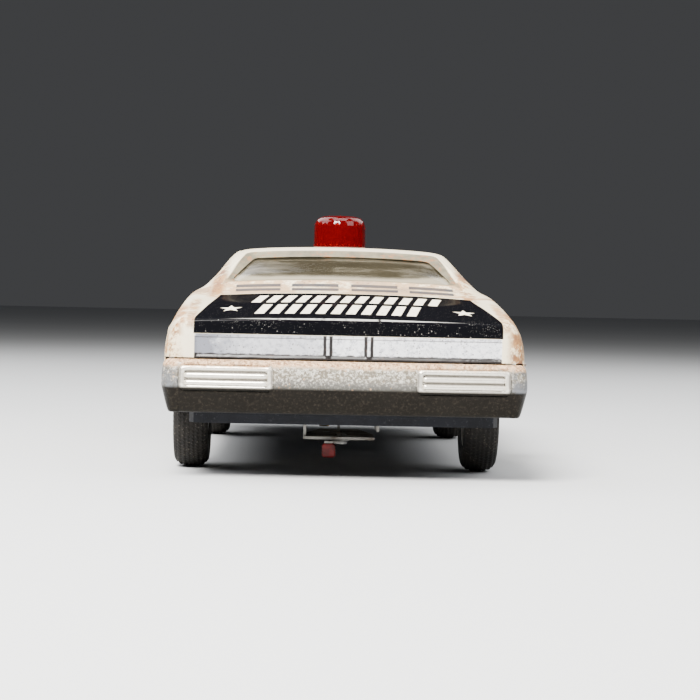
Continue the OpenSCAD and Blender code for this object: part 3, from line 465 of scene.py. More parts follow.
fine = np.linspace(0, 1, 4001)
centre_line = body_surface(fine, [1.0])[0][:, 0]
middle = (fine > 0.12) & (fine < 0.9)


def row_at(y):
    """The row v whose centre line point is at y."""
    return np.interp(y, centre_line[middle, 1], fine[middle])


def spread(line, spacing):
    """Places of 0 to 1 along a line of points, closer where the spacing is small."""
    lengths = np.linalg.norm(np.diff(line, axis=0), axis=1)
    wanted = np.concatenate([[0], np.cumsum(lengths / ((spacing[1:] + spacing[:-1]) / 2))])
    count = int(wanted[-1]) + 1
    return np.interp(np.linspace(0, wanted[-1], count), wanted, np.linspace(0, 1, len(line)))


bumper_gap = 34.8
line_y, line_z = centre_line[:, 1], centre_line[:, 2]
row_spacing = np.select(
    [line_z < 31, line_y < -128, line_y < -85, line_y < -38, line_y < 14, line_y < 47, line_y < 124],
    [4, 0.4, 0.8, 0.4, 0.9, 0.5, 0.9], 0.5)
body_rows = spread(centre_line, row_spacing)
section = body_surface([row_at(-70)], np.linspace(0, 1, 801))[0][0]
body_columns = spread(section, np.select([section[:, 2] < 45, section[:, 0] > 40], [0.75, 0.55], 0.6))

rear_window = [(-32.1, -63.5), (32.1, -63.5), (26.5, -51.1), (-26.5, -51.1)]
windscreen = [(-27.1, 23), (27.1, 23), (32.1, 39.9), (-32.1, 39.9)]
door_window = [(-6.9, 56.7), (25.6, 55.9), (13.9, 62.6), (-6.9, 63.5)]
quarter_window = [(-33.2, 57.1), (-13.9, 56.9), (-13.9, 63.5), (-28.3, 63.5)]
arch_radius = 20.5
key_hole_radius = 3.2
upper_z = 50  # the windows, the louvres and the roof are above this height
end_panel_y = 127.5  # past this the pressing stops above the bumpers


def window_distances(x, y, z):
    """Distance to each window opening: in plan for the large ones, from the side for the others."""
    elsewhere = 99
    top = np.where(z > upper_z, 0, elsewhere)
    side = np.where((np.abs(x) > 33) & (z > upper_z), 0, elsewhere)
    return {
        "rear": outline_distance(x, y, rear_window, 2.5) + top,
        "screen": outline_distance(x, y, windscreen, 2.5) + top,
        "door": outline_distance(y, z, door_window, 1.5) + side,
        "quarter": outline_distance(y, z, quarter_window, 1.5) + side,
    }


def body_keep(x, y, z):
    """Positive where the pressing has metal, negative in its openings."""
    keep = np.minimum.reduce(list(window_distances(x, y, z).values()))
    for axle_y in (rear_axle_y, front_axle_y):
        keep = np.minimum(keep, np.hypot(y - axle_y, z - wheel_radius) - arch_radius)
    keep = np.minimum(keep, np.maximum(end_panel_y - np.abs(y), z - bumper_gap))
    key_hole = np.hypot(y - key_y, z - key_z) - key_hole_radius
    return np.where(x > 45, np.minimum(keep, key_hole), keep)


litho_shift = 0.8  # the print and its pressing sit a little to the right of the middle
louvre_groups = [(1.8, 16.8), (20.0, 34.3)]
louvre_rows = (-77.6, -72.8)
rib_x = 5.85
panel_z = (35.5, 41.5)
panel_half = 43.6


def body_relief(x, y, z, normal):
    """Height of the pressed detail above the smooth skin."""
    height = np.zeros(x.shape)
    for name, d in window_distances(x, y, z).items():
        wide = 1.0 if name in ("rear", "screen") else 0.6
        frame_profile = (-0.75 + 0.45 * step(d, 0.9 * wide, 0.5 * wide)
                         + 0.62 * step(d, 2.2 * wide, 0.6 * wide) - 0.32 * step(d, 4.0 * wide, 0.7 * wide))
        height = np.where(d < 6, frame_profile, height)
    px = x - litho_shift
    for low, high in louvre_groups:
        for row in louvre_rows:
            slot = rounded_box(np.abs(px), y, (low, row - 1.25), (high, row + 1.25), 0.9)
            lip = 0.3 * band(y, row + 1.2, row + 3.4, 0.9) * band(np.abs(px), low, high, 1.0)
            height += (z > upper_z) * (lip - 0.4 * (1 - step(slot, 0, 0.5)))
    for axle_y in (rear_axle_y, front_axle_y):
        d = np.hypot(y - axle_y, z - wheel_radius) - arch_radius
        height += 0.45 * (1 - step(d, 2.2, 1.4))
    tail = (y < -135) & (z < 46)
    inside = band(z, *panel_z, 0.35) * (1 - step(np.abs(px), panel_half, 0.5))
    ribs = 1 - step(np.abs(np.abs(px) - rib_x), 0.55, 0.35)
    height -= tail * 0.45 * inside * (1 - ribs)
    crease = 0.3 * np.exp(-(((z - 41.5 + (y + 10) * 0.01) / 1.1) ** 2)) * step(np.abs(x), 47, 2)
    height += crease * band(y, -124, 120, 10)
    flank = (np.abs(x) > 45) & (z > 22)
    upward = normal[..., 2] > 0.5
    door = np.abs(outline_distance(y, z, [(-12.5, 23.5), (-12.5, 53), (33, 52), (33, 23.5)], 1.2))
    height -= flank * 0.35 * (1 - step(door, 0.3, 0.5))
    handle = outline_distance(y, z, [(-8.5, 45.6), (-2.5, 45.4), (-2.5, 45.9), (-8.5, 46.1)], 0.6)
    height += flank * 0.7 * (1 - step(handle, 0.1, 0.7))
    lid = np.abs(outline_distance(np.abs(x), y, [(-20, 57.5), (40.6, 57.5), (39.2, 126), (-20, 126)], 0.5))
    height -= upward * 0.3 * (1 - step(lid, 0.25, 0.5))
    bulge = outline_distance(np.abs(x), y, [(-20, 64), (15, 64), (17.5, 121), (-20, 121)], 0.5)
    height += upward * 0.5 * (1 - step(bulge, -0.6, 1.6))
    cowl = outline_distance(np.abs(x), y, [(4, 51.2), (30, 50.2), (30, 51.4), (4, 52.4)], 0.4)
    slats = 0.5 + 0.5 * np.cos(x * 2 * math.pi / 1.6)
    height -= upward * 0.4 * (1 - step(cowl, 0, 0.5)) * (0.3 + 0.7 * slats)
    return height


def both_halves(points, normals, columns):
    """Mirrors a right half onto the left, keeping one column on the centre line."""
    mirror = np.array([-1, 1, 1])
    left = slice(columns - 2, None, -1)
    return (np.concatenate([points, points[:, left] * mirror], 1),
            np.concatenate([normals, normals[:, left] * mirror], 1))


def body_sheet(rows, columns):
    """Points and quads of the body skin with its pressed detail, cut at its openings."""
    points, normals = both_halves(*body_surface(rows, columns), len(columns))
    x, y, z = np.moveaxis(points, 2, 0)
    placed = points + normals * body_relief(x, y, z, normals)[..., None]
    keep = body_keep(x, y, z)
    quads = grid_faces(len(rows), points.shape[1])[:, ::-1]
    return clip_mesh(placed.reshape(-1, 3), quads, keep.reshape(-1))


def star(px, py, radius):
    """1 inside a five-pointed star that points along +y."""
    fifth = 2 * math.pi / 5
    turn = (px.math("ARCTAN2", py) + fifth / 2).modulo(fifth) - fifth / 2
    reach = (px * px + py * py).math("SQRT")
    along = reach * turn.math("COSINE")
    across = (reach * turn.math("SINE")).abs()
    # edge from the tip to the inner corner of the star, which is at 0.4 of the radius
    inner_x, inner_y = 0.4 * math.cos(fifth / 2), 0.4 * math.sin(fifth / 2)
    nx, ny = inner_y, 1 - inner_x
    size = math.hypot(nx, ny)
    return (along * (nx / size) + across * (ny / size) - radius * nx / size).below(0, 0.08)


CREAM = (0.86, 0.77, 0.59)
BLACK = (0.003, 0.003, 0.004)
RUST = (0.22, 0.085, 0.035)
GREY_TIN = (0.13, 0.115, 0.078)


def window_edge(side, y, near, far):
    """Distance past the edges of a window that narrows from its near to its far [half width, y]."""
    slope = (far[0] - near[0]) / (far[1] - near[1])
    flank = side - ((y - near[1]) * slope + near[0])
    return flank.max((y - (near[1] + far[1]) / 2).abs() - abs(far[1] - near[1]) / 2)


def base_coat(paint, px):
    """Cream with black panels, the boot lid and the bonnet between the wings; gives the masks of both."""
    y, z, side = paint.y, paint.z, px.abs()
    cream = paint.mix(paint.noise(26, 5, 0.6).above(0.55, 0.25), CREAM, (0.80, 0.69, 0.48))
    lid_edge = 44.2 - (y + 136) * 0.108
    lid = (lid_edge - side).above(0, 0.15) * y.below(-84.6, 0.12) * z.above(panel_z[1] + 0.25, 0.08)
    bonnet = (side - 42.4 + (y - 50) * 0.012).below(0, 0.15) * y.above(53.8, 0.12) * z.above(41.5, 0.2)
    paint.colour = paint.mix(lid.max(bonnet), cream, BLACK)
    return lid, bonnet


def tail_print(paint, px):
    """Silver tail panel in three fields, with painted shade towards its left end and in dark lines along the
    ribs and the panel's edges; gives both masks and the silver's grain.
    """
    z, side = paint.z, px.abs()
    tail = paint.y.below(-134.6, 0.2) * z.below(panel_z[1] + 0.15, 0.08) * side.below(panel_half + 0.3, 0.1)
    grain = paint.noise(1.4, 4, 0.75)
    silver = paint.mix(grain.above(0.43, 0.13), (0.44, 0.45, 0.50), (0.93, 0.94, 0.98))
    end_shade = (px + 36).below(0, 9) * paint.noise(7, 4, 0.7).above(0.4, 0.12) * 0.75
    silver = paint.mix(end_shade + px.below(-6, 6) * 0.45, silver, (0.22, 0.23, 0.27))
    pitted = paint.specks(0.9, 0.6, 6.1) * paint.noise(11, 4, 0.6, seed=2.2).above(0.48, 0.1)
    silver = paint.mix(pitted * 0.8, silver, (0.10, 0.09, 0.09))
    paint.coat(tail, silver)
    # Painted shade: dark lines beside the ribs, along the panel's bottom edge and under its top step, made
    # uneven by grime.
    grubby = paint.noise(2.2, 4, 0.7)
    groove_shade = ((side - rib_x).abs() + grubby * 0.4).between(0.6, 1.55, 0.12)
    groove_shade = groove_shade.max((z + grubby * 1.2).below(panel_z[0] + 1.25, 0.25))
    groove_shade = groove_shade.max((z + grubby * 0.3).between(panel_z[1] - 0.75, panel_z[1] - 0.45, 0.12) * 0.75)
    paint.coat(tail * groove_shade, (0.012, 0.010, 0.010))
    return tail, groove_shade, grain


def lid_print(paint, px, lid):
    """Two rows of plain slanted dashes, two stars and a pale line along the crease of the boot lid, partly
    worn paint and partly a painted highlight.
    """
    y = paint.y
    slant = px - (y + 108) * 0.14 + 1
    dash = (slant + 2.2).modulo(4.4).between(0.85, 3.55, 0.1)
    far_row = y.between(-106.5, -90, 0.15) * slant.abs().below(29, 0.1)
    near_row = y.between(-128, -111, 0.15) * slant.abs().below(24.6, 0.1)
    stars = star(px.abs() - 34.2, (y + 118) * 0.6, 3.4)
    unworn = 1 - paint.specks(1.3, 0.25, 2.9) * 0.8
    paint.coat((far_row.max(near_row) * dash).max(stars) * lid * unworn, (0.88, 0.80, 0.64))
    # A pale line along the lid's rolled crease: partly worn paint, partly a painted highlight on the edge.
    crease_wear_and_highlight = paint.z.between(46.15, 46.75, 0.12) * y.below(-135.2, 0.15) * lid
    paint.coat(crease_wear_and_highlight * paint.noise(2.4, 5, 0.75, seed=7.7).above(0.38, 0.12) * 0.7, (0.62, 0.6, 0.57))


def flank_print(paint):
    """A star on each door and two thin dark lines above the sill."""
    y, z = paint.y, paint.z
    flank = paint.x.abs().above(44.5, 0.3)
    paint.coat(star(y - 9, z - 37.5, 8.5) * flank, (0.02, 0.02, 0.024))
    lines = z.between(24.0, 25.0, 0.12).max(z.between(25.8, 26.1, 0.08))
    paint.coat(lines * flank * y.between(-126, 126, 0.5), (0.03, 0.03, 0.035))


def window_frames(paint):
    """Bare grey tin round the two large windows; gives its mask."""
    side, y = paint.x.abs(), paint.y
    rear_frame = window_edge(side, y, (34.6, -66), (29, -48.6))
    screen_frame = window_edge(side, y, (29.6, 20.5), (34.6, 42.4))
    framed = rear_frame.min(screen_frame).below(2.6, 0.3) * paint.z.above(upper_z, 0.5)
    paint.coat(framed, paint.mix(paint.noise(5, 4, 0.7).above(0.5, 0.2), GREY_TIN, (0.22, 0.19, 0.125)))
    return framed


def louvre_print(paint, px):
    """Dark grey louvre slots; gives their mask."""
    columns = [px.abs().between(low + 0.1, high - 0.1, 0.2) for low, high in louvre_groups]
    rows = [paint.y.between(row - 1.25, row + 1.5, 0.12) for row in louvre_rows]
    slots = columns[0].max(columns[1]) * rows[0].max(rows[1]) * paint.z.above(upper_z, 0.5)
    paint.coat(slots, (0.018, 0.022, 0.034))
    return slots


def worn_places(paint, px):
    """Where the tin wears: wing crests, pillars, tail corners, sill, deck and the sides of the lid."""
    x, y, z = paint.x.abs(), paint.y, paint.z
    crest = x.above(45.6, 1.2) * z.between(44.2, 49.4, 1.2) * (y.below(-62, 12) * 0.8 + 0.2)
    pillar = x.between(36.5, 41.5, 1.5) * z.above(51, 2) * y.between(-92, -44, 8)
    deck = y.between(-84, -66, 1) * z.above(upper_z, 1)
    corner = y.below(-128, 5) * x.above(47, 1.5)
    lid_side = px.abs().between(43.6, 46.6, 0.8) * y.below(-96, 6) * z.above(43.5, 1)
    return crest.max(pillar).max(corner).max(z.below(22.5, 2) * 0.7).max(deck * 0.7).max(lid_side * 0.8)


def weather(paint, px, black, framed, slots):
    """Stains and rust freckles near edges and chips in the black; gives the masks of rust and stains."""
    y, z = paint.y, paint.z
    edge = worn_places(paint, px)
    patchy = paint.noise(9, 6, 0.72, seed=3.1)
    blotch = paint.noise(4.5, 6, 0.75, seed=8.6)
    patch = paint.noise(24, 3, 0.6, seed=6.6)
    stain = (blotch + patch * 0.7).above(0.815, 0.06) * edge * 0.95
    yellowed = edge * paint.noise(16, 4, 0.6, seed=1.3).above(0.4, 0.2) * 0.6
    plain = (1 - black) * (1 - framed * 0.6) * (1 - slots * 0.9)
    paint.coat(yellowed * plain, (0.80, 0.62, 0.36))
    stain_colour = paint.mix(patchy.above(0.52, 0.1), (0.40, 0.19, 0.055), (0.17, 0.06, 0.02))
    paint.coat(stain * plain, stain_colour)
    freckles = paint.specks(1.6, 0.6, 1.7) * blotch.above(0.46, 0.1)
    fine_freckles = paint.specks(0.8, 0.5, 4.2) * patchy.above(0.5, 0.1)
    rust = (freckles * (edge * 0.9 + 0.08)).max(fine_freckles * (edge * 0.85 + 0.08)) * plain
    paint.coat(rust, RUST)
    rim_rust = framed * paint.noise(3, 5, 0.7, seed=4.4).above(0.58, 0.06)
    paint.coat(rim_rust, (0.30, 0.15, 0.07))
    dotted = y.between(-68.2, -66.9, 0.2) * px.abs().below(33, 1) * paint.noise(1.1, 2, 0.5).above(0.46, 0.08)
    paint.coat(dotted * z.above(upper_z, 1) * 0.8, (0.42, 0.25, 0.11))
    chips = paint.specks(0.4, 0.16, 9.3).max(paint.specks(0.26, 0.2, 5.3) * patchy.above(0.5, 0.1))
    chips = chips * black * (z.below(46.2, 0.6) * 0.85 + 0.15)
    paint.coat(chips * 0.55, (0.48, 0.46, 0.43))
    return rust, stain


def litho_paint():
    """Cream and black printed tin with silver trim, dashes and stars, rust freckles and chips."""
    paint = Paint("litho_tin", Coat_Roughness=0.07)
    px = paint.x - litho_shift
    lid, bonnet = base_coat(paint, px)
    black = lid.max(bonnet)
    tail, groove_shade, grain = tail_print(paint, px)
    lid_print(paint, px, lid)
    flank_print(paint)
    framed = window_frames(paint)
    slots = louvre_print(paint, px)
    rust, stain = weather(paint, px, black, framed, slots)
    paint.feed(paint.shader.inputs["Specular IOR Level"], 0.4 - bonnet * 0.28 - lid * 0.4)
    paint.feed(paint.shader.inputs["Coat Weight"], bonnet * 0.5 + lid * 0.06)
    roughness = paint.noise(5, 4, 0.6) * 0.16 * (1 - black * 0.6) + 0.24 - black * 0.16
    roughness = roughness + rust * 0.4 + stain * 0.2 + framed * 0.1
    metallic = (tail * (1 - groove_shade) * 0.35).max(framed * 0.2)
    wavy = paint.noise(16, 2, 0.5) * 0.5 * (1 - black * 0.6) + rust * 0.25 + grain * tail * 0.12
    return paint.finish(roughness, metallic, wavy, 0.35, 0.5)


def bare_tin():
    """The unprinted inside of the pressing."""
    paint = two_tone("bare_tin", (12, 5, 0.65), (0.42, 0.40, 0.35), (0.30, 0.26, 0.2), Metallic=0.9)[0]
    return paint.finish(paint.noise(3, 4, 0.6) * 0.3 + 0.3, bump=paint.noise(1.2, 3), depth=0.05)


litho = litho_paint()
tin_inside = bare_tin()
body_points, body_faces = body_sheet(body_rows, body_columns)
body = new_object("body_pressing", body_points, body_faces, [litho, tin_inside])
thicken(body, tin).material_offset = 1
piece(body, "car", "cream_litho_tin", "body_shell")


# ---------------------------------------------------------------- glazing
def dusty_glass():
    """Clear plastic, yellowed and clouded, with dust along its lower edge."""
    paint = Paint("dusty_glass", IOR=1.45, Coat_Weight=0.2, Coat_Roughness=0.06)
    cloud = paint.noise(18, 4, 0.6)
    streak = paint.noise(7, 5, 0.7, stretch=(0.4, 1.6, 1))
    paint.colour = paint.mix(cloud, (0.026, 0.021, 0.012), (0.056, 0.047, 0.028))
    bottom = (paint.z + cloud * 2 + paint.y.abs() * 0.02).below(61.6, 0.7)
    dust = (streak.above(0.58, 0.12) * 0.35).max(bottom * 0.95)
    paint.coat(dust, (0.34, 0.30, 0.22))
    paint.feed(paint.shader.inputs["Alpha"], cloud * 0.3 + 0.42 + dust * 0.3)
    return paint.finish(streak * 0.2 + 0.08, bump=paint.noise(22, 2), depth=0.5, strength=0.5)


glass_material = dusty_glass()
glass_gap = 0.95  # from the inside of the skin to the pane


def rows_between(y0, y1, count):
    """Evenly spread rows v of the body surface between two places along the car."""
    return np.linspace(row_at(y0), row_at(y1), count)


def pane(name, node, points, normals, quads, keep, dome):
    """A clear sheet under the skin that reaches a little past its opening and swells in the middle."""
    placed = points + normals * (dome - tin - glass_gap)[..., None]
    glass = new_object(name, *clip_mesh(placed.reshape(-1, 3), quads, keep.reshape(-1)), [glass_material])
    thicken(glass, 0.4)
    return piece(glass, "car", "clear_plastic", node)


def wide_glass(name, node, rows, opening):
    """The pane of the rear window or the windscreen."""
    columns = np.linspace(0.6, 1, 60)
    points, normals = both_halves(*body_surface(rows, columns), len(columns))
    distance = window_distances(*np.moveaxis(points, 2, 0))[opening]
    quads = grid_faces(len(rows), points.shape[1])[:, ::-1]
    pane(name, node, points, normals, quads, 3.0 - distance, 0.55 * step(-distance, 2.5, 6))


def side_glass(node, side):
    """One strip of clear plastic behind both windows of a side."""
    rows, columns = rows_between(-40, 34, 90), np.linspace(0.4, 0.7, 50)
    points, normals = body_surface(rows, columns)
    distances = window_distances(*np.moveaxis(points, 2, 0))
    near = np.minimum(distances["door"], distances["quarter"])
    mirror = (side, 1, 1)
    quads = grid_faces(len(rows), len(columns))[:, ::-side]
    pane(f"{node}_glass", node, points * mirror, normals * mirror, quads, 2.2 - near, 0 * near)


wide_glass("rear_glass", "rear_window", rows_between(-68.4, -45.7, 48), "rear")
wide_glass("front_glass", "windscreen", rows_between(15, 48, 50), "screen")
side_glass("side_window_left", -1)
side_glass("side_window_right", 1)

# ---------------------------------------------------------------- plated bumpers
lamp_x, lamp_z = (20.6, 47.1), (25.9, 32.4)
lamp_bars = (29.85, 27.75)
crease_z = 26.5


def aged_plating():
    """Nickel plating, bright and speckled above the crease, rusty along its top edge; painted shade darkens
    the band above the crease, the duller face below it and the lamp grooves.
    """
    paint = Paint("aged_plating")
    z = paint.z
    side = paint.x.abs()
    cloud = paint.noise(13, 6, 0.7, stretch=(0.7, 1, 1.2))
    patch = paint.noise(5, 6, 0.75, seed=2.0)
    grain = paint.noise(0.8, 4, 0.8, seed=6.0)
    lamp = side.between(lamp_x[0], lamp_x[1], 0.3) * z.between(lamp_z[0], lamp_z[1], 0.3)
    tarnish = grain.above(0.47, 0.07) * (1 - lamp * 0.8)
    paint.colour = paint.mix(tarnish, (0.94, 0.89, 0.78), (0.26, 0.225, 0.17))
    # Painted shade: a mottled darker band above the crease and a darker roll down to it, where the face turns
    # away from the light.
    middle = (z + patch * 5).below(31.6, 1.3) * (1 - lamp)
    paint.coat(middle * (grain * 0.6 + patch * 0.4).above(0.44, 0.1) * 0.9, (0.17, 0.165, 0.155))
    roll = z.below(27.6, 0.9) * (1 - lamp)
    paint.coat(roll * 0.85, (0.07, 0.066, 0.056))
    pits = paint.specks(0.7, 0.6, 2.2) * cloud.above(0.42, 0.12) * (1 - lamp * 0.8)
    paint.coat(pits * 0.85, (0.14, 0.10, 0.07))
    # Painted shade in the lamp's outer groove and in the grooves between its bars.
    framed = side.between(lamp_x[0] + 0.5, lamp_x[1] - 0.5, 0.25) * z.between(lamp_z[0] + 0.5, 40, 0.25)
    frame_groove_shade = lamp * (1 - framed)
    rows = lamp * side.between(lamp_x[0] + 1.4, lamp_x[1] - 1.4, 0.3) * z.between(26.9, 31.4, 0.2)
    bar_groove_shade = rows * (1 - z.between(27.15, 28.35, 0.2) - z.between(29.25, 30.45, 0.2))
    paint.coat((frame_groove_shade * 0.7).max(bar_groove_shade * 0.75), (0.16, 0.14, 0.12))
    smear = side.above(47.6, 1.2) * paint.noise(3.5, 5, 0.7, seed=3.3).above(0.48, 0.08)
    paint.coat(smear * 0.8, (0.20, 0.21, 0.23))
    low = z.below(crease_z, 0.5)
    # Painted shade: below the crease the plating is painted nearly black, for the dark surroundings it would
    # reflect, with a lighter speckle.
    dull = paint.mix(paint.noise(9, 5, 0.6, seed=1.0), (0.006, 0.005, 0.004), (0.016, 0.014, 0.011))
    dull = paint.mix(grain.above(0.58, 0.08) * 0.4, dull, (0.06, 0.048, 0.036))
    paint.coat(low, dull)
    rust_noise = paint.noise(3.2, 6, 0.75, seed=5.0)
    top_edge = (z + rust_noise * 2.4 + paint.noise(11, 3, 0.6, seed=7.0) * 1.6).above(34.4, 0.6)
    spots = paint.specks(1.0, 0.4, 8.8) * z.above(crease_z, 0.5) * rust_noise.above(0.5, 0.08) * (1 - lamp)
    rust = (top_edge * (rust_noise.above(0.36, 0.14) * 0.8 + 0.2)).max(spots)
    paint.coat(rust, paint.mix(grain.above(0.5, 0.1), (0.20, 0.095, 0.04), (0.70, 0.47, 0.28)))
    metallic = 0.55 + low * 0.35 - rust * 0.4
    roughness = cloud * 0.12 + 0.26 + low * 0.14 + rust * 0.35 + pits * 0.15 - lamp * 0.08
    bump = cloud * 0.5 - pits * 0.3 + rust * 0.3 + grain * 0.15
    return paint.finish(roughness, metallic, bump, 0.12, 0.7)


plating = aged_plating()


def lamp_relief(x, z):
    """Pressed lamp frames, each with a groove and two rounded bars inside."""
    side = np.abs(x)
    outer = rounded_box(side, z, (lamp_x[0], lamp_z[0]), (lamp_x[1], lamp_z[1]), 1.5)
    inner = rounded_box(side, z, (lamp_x[0] + 1.3, 26.9), (lamp_x[1] - 1.3, 31.45), 1.0)
    height = -0.22 * band(outer, 0.0, 0.5, 0.3) + 0.3 * (1 - step(outer, -0.2, 0.5))
    height -= 0.75 * (1 - step(inner, 0, 0.35))
    for bar_z in lamp_bars:
        bar = rounded_box(side, z, (lamp_x[0] + 1.55, bar_z - 0.68), (lamp_x[1] - 1.55, bar_z + 0.68), 0.66)
        height += 0.95 * np.sqrt(np.clip(-bar / 0.66, 0, 1))
    return height


def resample(corners, spacing, rounds=3, closed=False):
    """An outline with evenly spaced points, its corners softened by averaging."""
    corners = np.asarray(corners, float)
    if closed:
        corners = np.concatenate([corners, corners[:1]])
    steps = np.concatenate([[0], np.cumsum(np.linalg.norm(np.diff(corners, axis=0), axis=1))])
    at = np.linspace(0, steps[-1], max(int(steps[-1] / spacing), 4))
    line = np.stack([np.interp(at, steps, corners[:, k]) for k in (0, 1)], 1)
    if closed:
        line = line[:-1]
    for _ in range(rounds):
        soft = (np.roll(line, 1, 0) + 2 * line + np.roll(line, -1, 0)) / 4
        if not closed:
            soft[[0, -1]] = line[[0, -1]]
        line = soft
    return line


def bumper_plan(samples):
    """Points and outward directions along a bumper's plan from left to right; its back is at y = 0."""
    corner, wrap, bow = 4.6, 11.2, 0.9
    half = bumper_half - corner
    arc = math.pi / 2 * corner
    ends = np.cumsum([0, wrap - corner - bow, arc, 2 * half, arc, wrap - corner - bow])
    s = np.linspace(0, ends[-1], samples)
    turn = np.where(s < ends[2], np.clip((s - ends[1]) / corner, 0, math.pi / 2),
                    np.clip(math.pi / 2 + (s - ends[3]) / corner, math.pi / 2, math.pi))
    outward = np.stack([-np.cos(turn), -np.sin(turn)], 1)
    across = np.clip(s - ends[2] - half, -half, half)
    straight = np.where(s < ends[1], ends[1] - s, 0) + np.where(s > ends[4], s - ends[4], 0)
    points = np.stack([across, corner + bow * (across / half) ** 2 + straight], 1) + outward * corner
    return points, outward


def bumper(name, node, back, facing_forward):
    """A plated bumper swept along its plan, with lamp pressings at the rear and a raised band in front."""
    samples = 460
    plan, outward = bumper_plan(samples)
    # [inset, height] from the lip over the car, down the face and round the rolled lower edge
    corners = [(6.5, 33.85), (2.6, 34), (1.6, 33.95), (0.95, 33.6), (0.5, 33), (0.25, 31.8), (0.08, 29.6),
               (0, 27.4), (0.06, 26.8), (0.35, 26.2), (1.2, 24.3), (2.1, 22.3), (3, 20.6), (3.5, 19.8),
               (4, 19.45), (4.6, 19.7)]
    profile = resample(corners, 0.26, 2)
    inset, z = profile[:, :1], profile[:, 1:]
    sideways = np.abs(outward[None, :, 0])
    inset = inset * (1 - 0.45 * sideways * (z < 30))
    x = plan[None, :, 0] - outward[None, :, 0] * inset
    y = plan[None, :, 1] - outward[None, :, 1] * inset
    z = z + 0 * x
    face = np.clip(-outward[None, :, 1], 0, 1) ** 2 * (inset < 1.2)
    if facing_forward:
        relief = face * 0.5 * band(z, 26.2, 30.6, 1.2) * (1 - step(np.abs(x), 43, 2))
    else:
        relief = face * lamp_relief(x, z)
    x = x + outward[None, :, 0] * relief
    y = y + outward[None, :, 1] * relief + 0.3
    points = np.stack([x, back + (-y if facing_forward else y), z], -1).reshape(-1, 3)
    quads = grid_faces(len(profile), samples)[:, :: -1 if facing_forward else 1]
    shell = new_object(name, points, quads.tolist(), [plating])
    thicken(shell, 0.45)
    piece(shell, "car", "nickel_plating", node)


bumper("rear_bumper_pressing", "rear_bumper", bumper_back, False)
bumper("front_bumper_pressing", "front_bumper", -bumper_back, True)


# ---------------------------------------------------------------- grille
bar_pitch = 1.3
bars_low = 36.3


def grille_plating():
    """Bright pressed tin, with black print between the bars."""
    paint, scuff = two_tone(
        "grille_plating", (3, 5, 0.7), (0.80, 0.79, 0.76), (0.5, 0.48, 0.44), Metallic=0.9)
    gap = (paint.z - bars_low).modulo(bar_pitch).between(0.1, 0.7, 0.08)
    gap = gap * paint.x.abs().below(15.6, 0.15) * paint.z.between(bars_low, 41.8, 0.1)
    paint.coat(gap, (0.015, 0.015, 0.017))
    paint.coat(paint.specks(0.7, 0.3, 1.0) * scuff.above(0.5, 0.1), RUST)
    return paint.finish(scuff * 0.2 + 0.2 + gap * 0.2, bump=paint.noise(1, 3), depth=0.03)


nose_y = node_box("grille")[0][1]
grille_lamps, lamp_height = (21.5, 30.0), 39.1
grid_x, grid_z = np.meshgrid(np.arange(-36.6, 36.7, 0.2), np.arange(34.6, 43.5, 0.2))
outline = rounded_box(grid_x, grid_z, (-35.6, 35.6), (35.6, 42.6), 1.6)
relief = 0.75 - 0.6 * step(outline, -0.3, 0.7)
field = rounded_box(grid_x, grid_z, (-16.4, bars_low), (16.4, 41.9), 0.8)
bars = 0.5 - 0.5 * np.cos((grid_z - bars_low) * 2 * math.pi / bar_pitch)
relief = relief - (1 - step(field, 0, 0.4)) * (0.15 + 0.55 * (1 - bars))
for lamp_centre in grille_lamps:
    d = np.hypot(np.abs(grid_x) - lamp_centre, grid_z - lamp_height)
    dome_shape = np.sqrt(np.clip(1 - (d / 2.7) ** 2, 0, 1))
    ribbing = 0.07 * np.cos(grid_x * 2 * math.pi / 0.75)
    relief = np.where(d < 3.45, 0.75 + 1.0 * band(d, 2.65, 3.3, 0.4) + (0.75 + ribbing) * dome_shape, relief)
grille_points = np.stack([grid_x, nose_y + 0.15 + relief, grid_z], -1).reshape(-1, 3)
grille_quads = grid_faces(*grid_x.shape)[:, ::-1]
grille_mesh = clip_mesh(grille_points, grille_quads, -outline.reshape(-1))
grille = new_object("grille_pressing", *grille_mesh, [grille_plating()])
thicken(grille, 0.3)
piece(grille, "car", "nickel_plating", "grille")


# ---------------------------------------------------------------- wheels
def lathe(profile, turns, relief=None):
    """Points and quads, facing outward, of a closed outline of [radius, along] turned about the x axis."""
    after = np.roll(profile, -1, 0)
    if (profile[:, 1] * after[:, 0] - after[:, 1] * profile[:, 0]).sum() > 0:
        profile = profile[::-1]
    angle = np.linspace(0, 2 * math.pi, turns, endpoint=False)
    radius = np.repeat(profile[:, :1], turns, 1)
    along = np.repeat(profile[:, 1:], turns, 1)
    if relief is not None:
        radius, along = relief(radius, along, angle[None, :])
    points = np.stack([along, radius * np.cos(angle), radius * np.sin(angle)], -1)
    ring = np.arange(len(profile) * turns).reshape(len(profile), turns)
    ring = np.concatenate([ring, ring[:1]], 0)
    ring = np.concatenate([ring, ring[:, :1]], 1)
    quads = np.stack([ring[:-1, :-1], ring[:-1, 1:], ring[1:, 1:], ring[1:, :-1]], -1).reshape(-1, 4)
    return points.reshape(-1, 3), quads


def tyre_rubber():
    """Black rubber with dust in its pattern."""
    paint, dust = two_tone(
        "tyre_rubber", (7, 6, 0.7), (0.0045, 0.004, 0.0037), (0.018, 0.015, 0.012), Specular_IOR_Level=0.3)
    paint.coat(paint.specks(0.45, 0.35, 1.1) * dust.above(0.42, 0.1), (0.15, 0.13, 0.10))
    return paint.finish(dust * 0.25 + 0.62, bump=paint.noise(0.7, 4) + dust * 0.5, depth=0.12, strength=0.8)


def wheel_paint():
    """Scuffed silver paint with freckles of rust."""
    paint, scuff = two_tone(
        "wheel_silver", (4, 5, 0.7), (0.62, 0.62, 0.60), (0.42, 0.40, 0.37), Metallic=0.85)
    paint.coat(paint.specks(0.8, 0.3, 3.0) * scuff.above(0.5, 0.1), RUST)
    return paint.finish(scuff * 0.25 + 0.28, bump=scuff, depth=0.06)


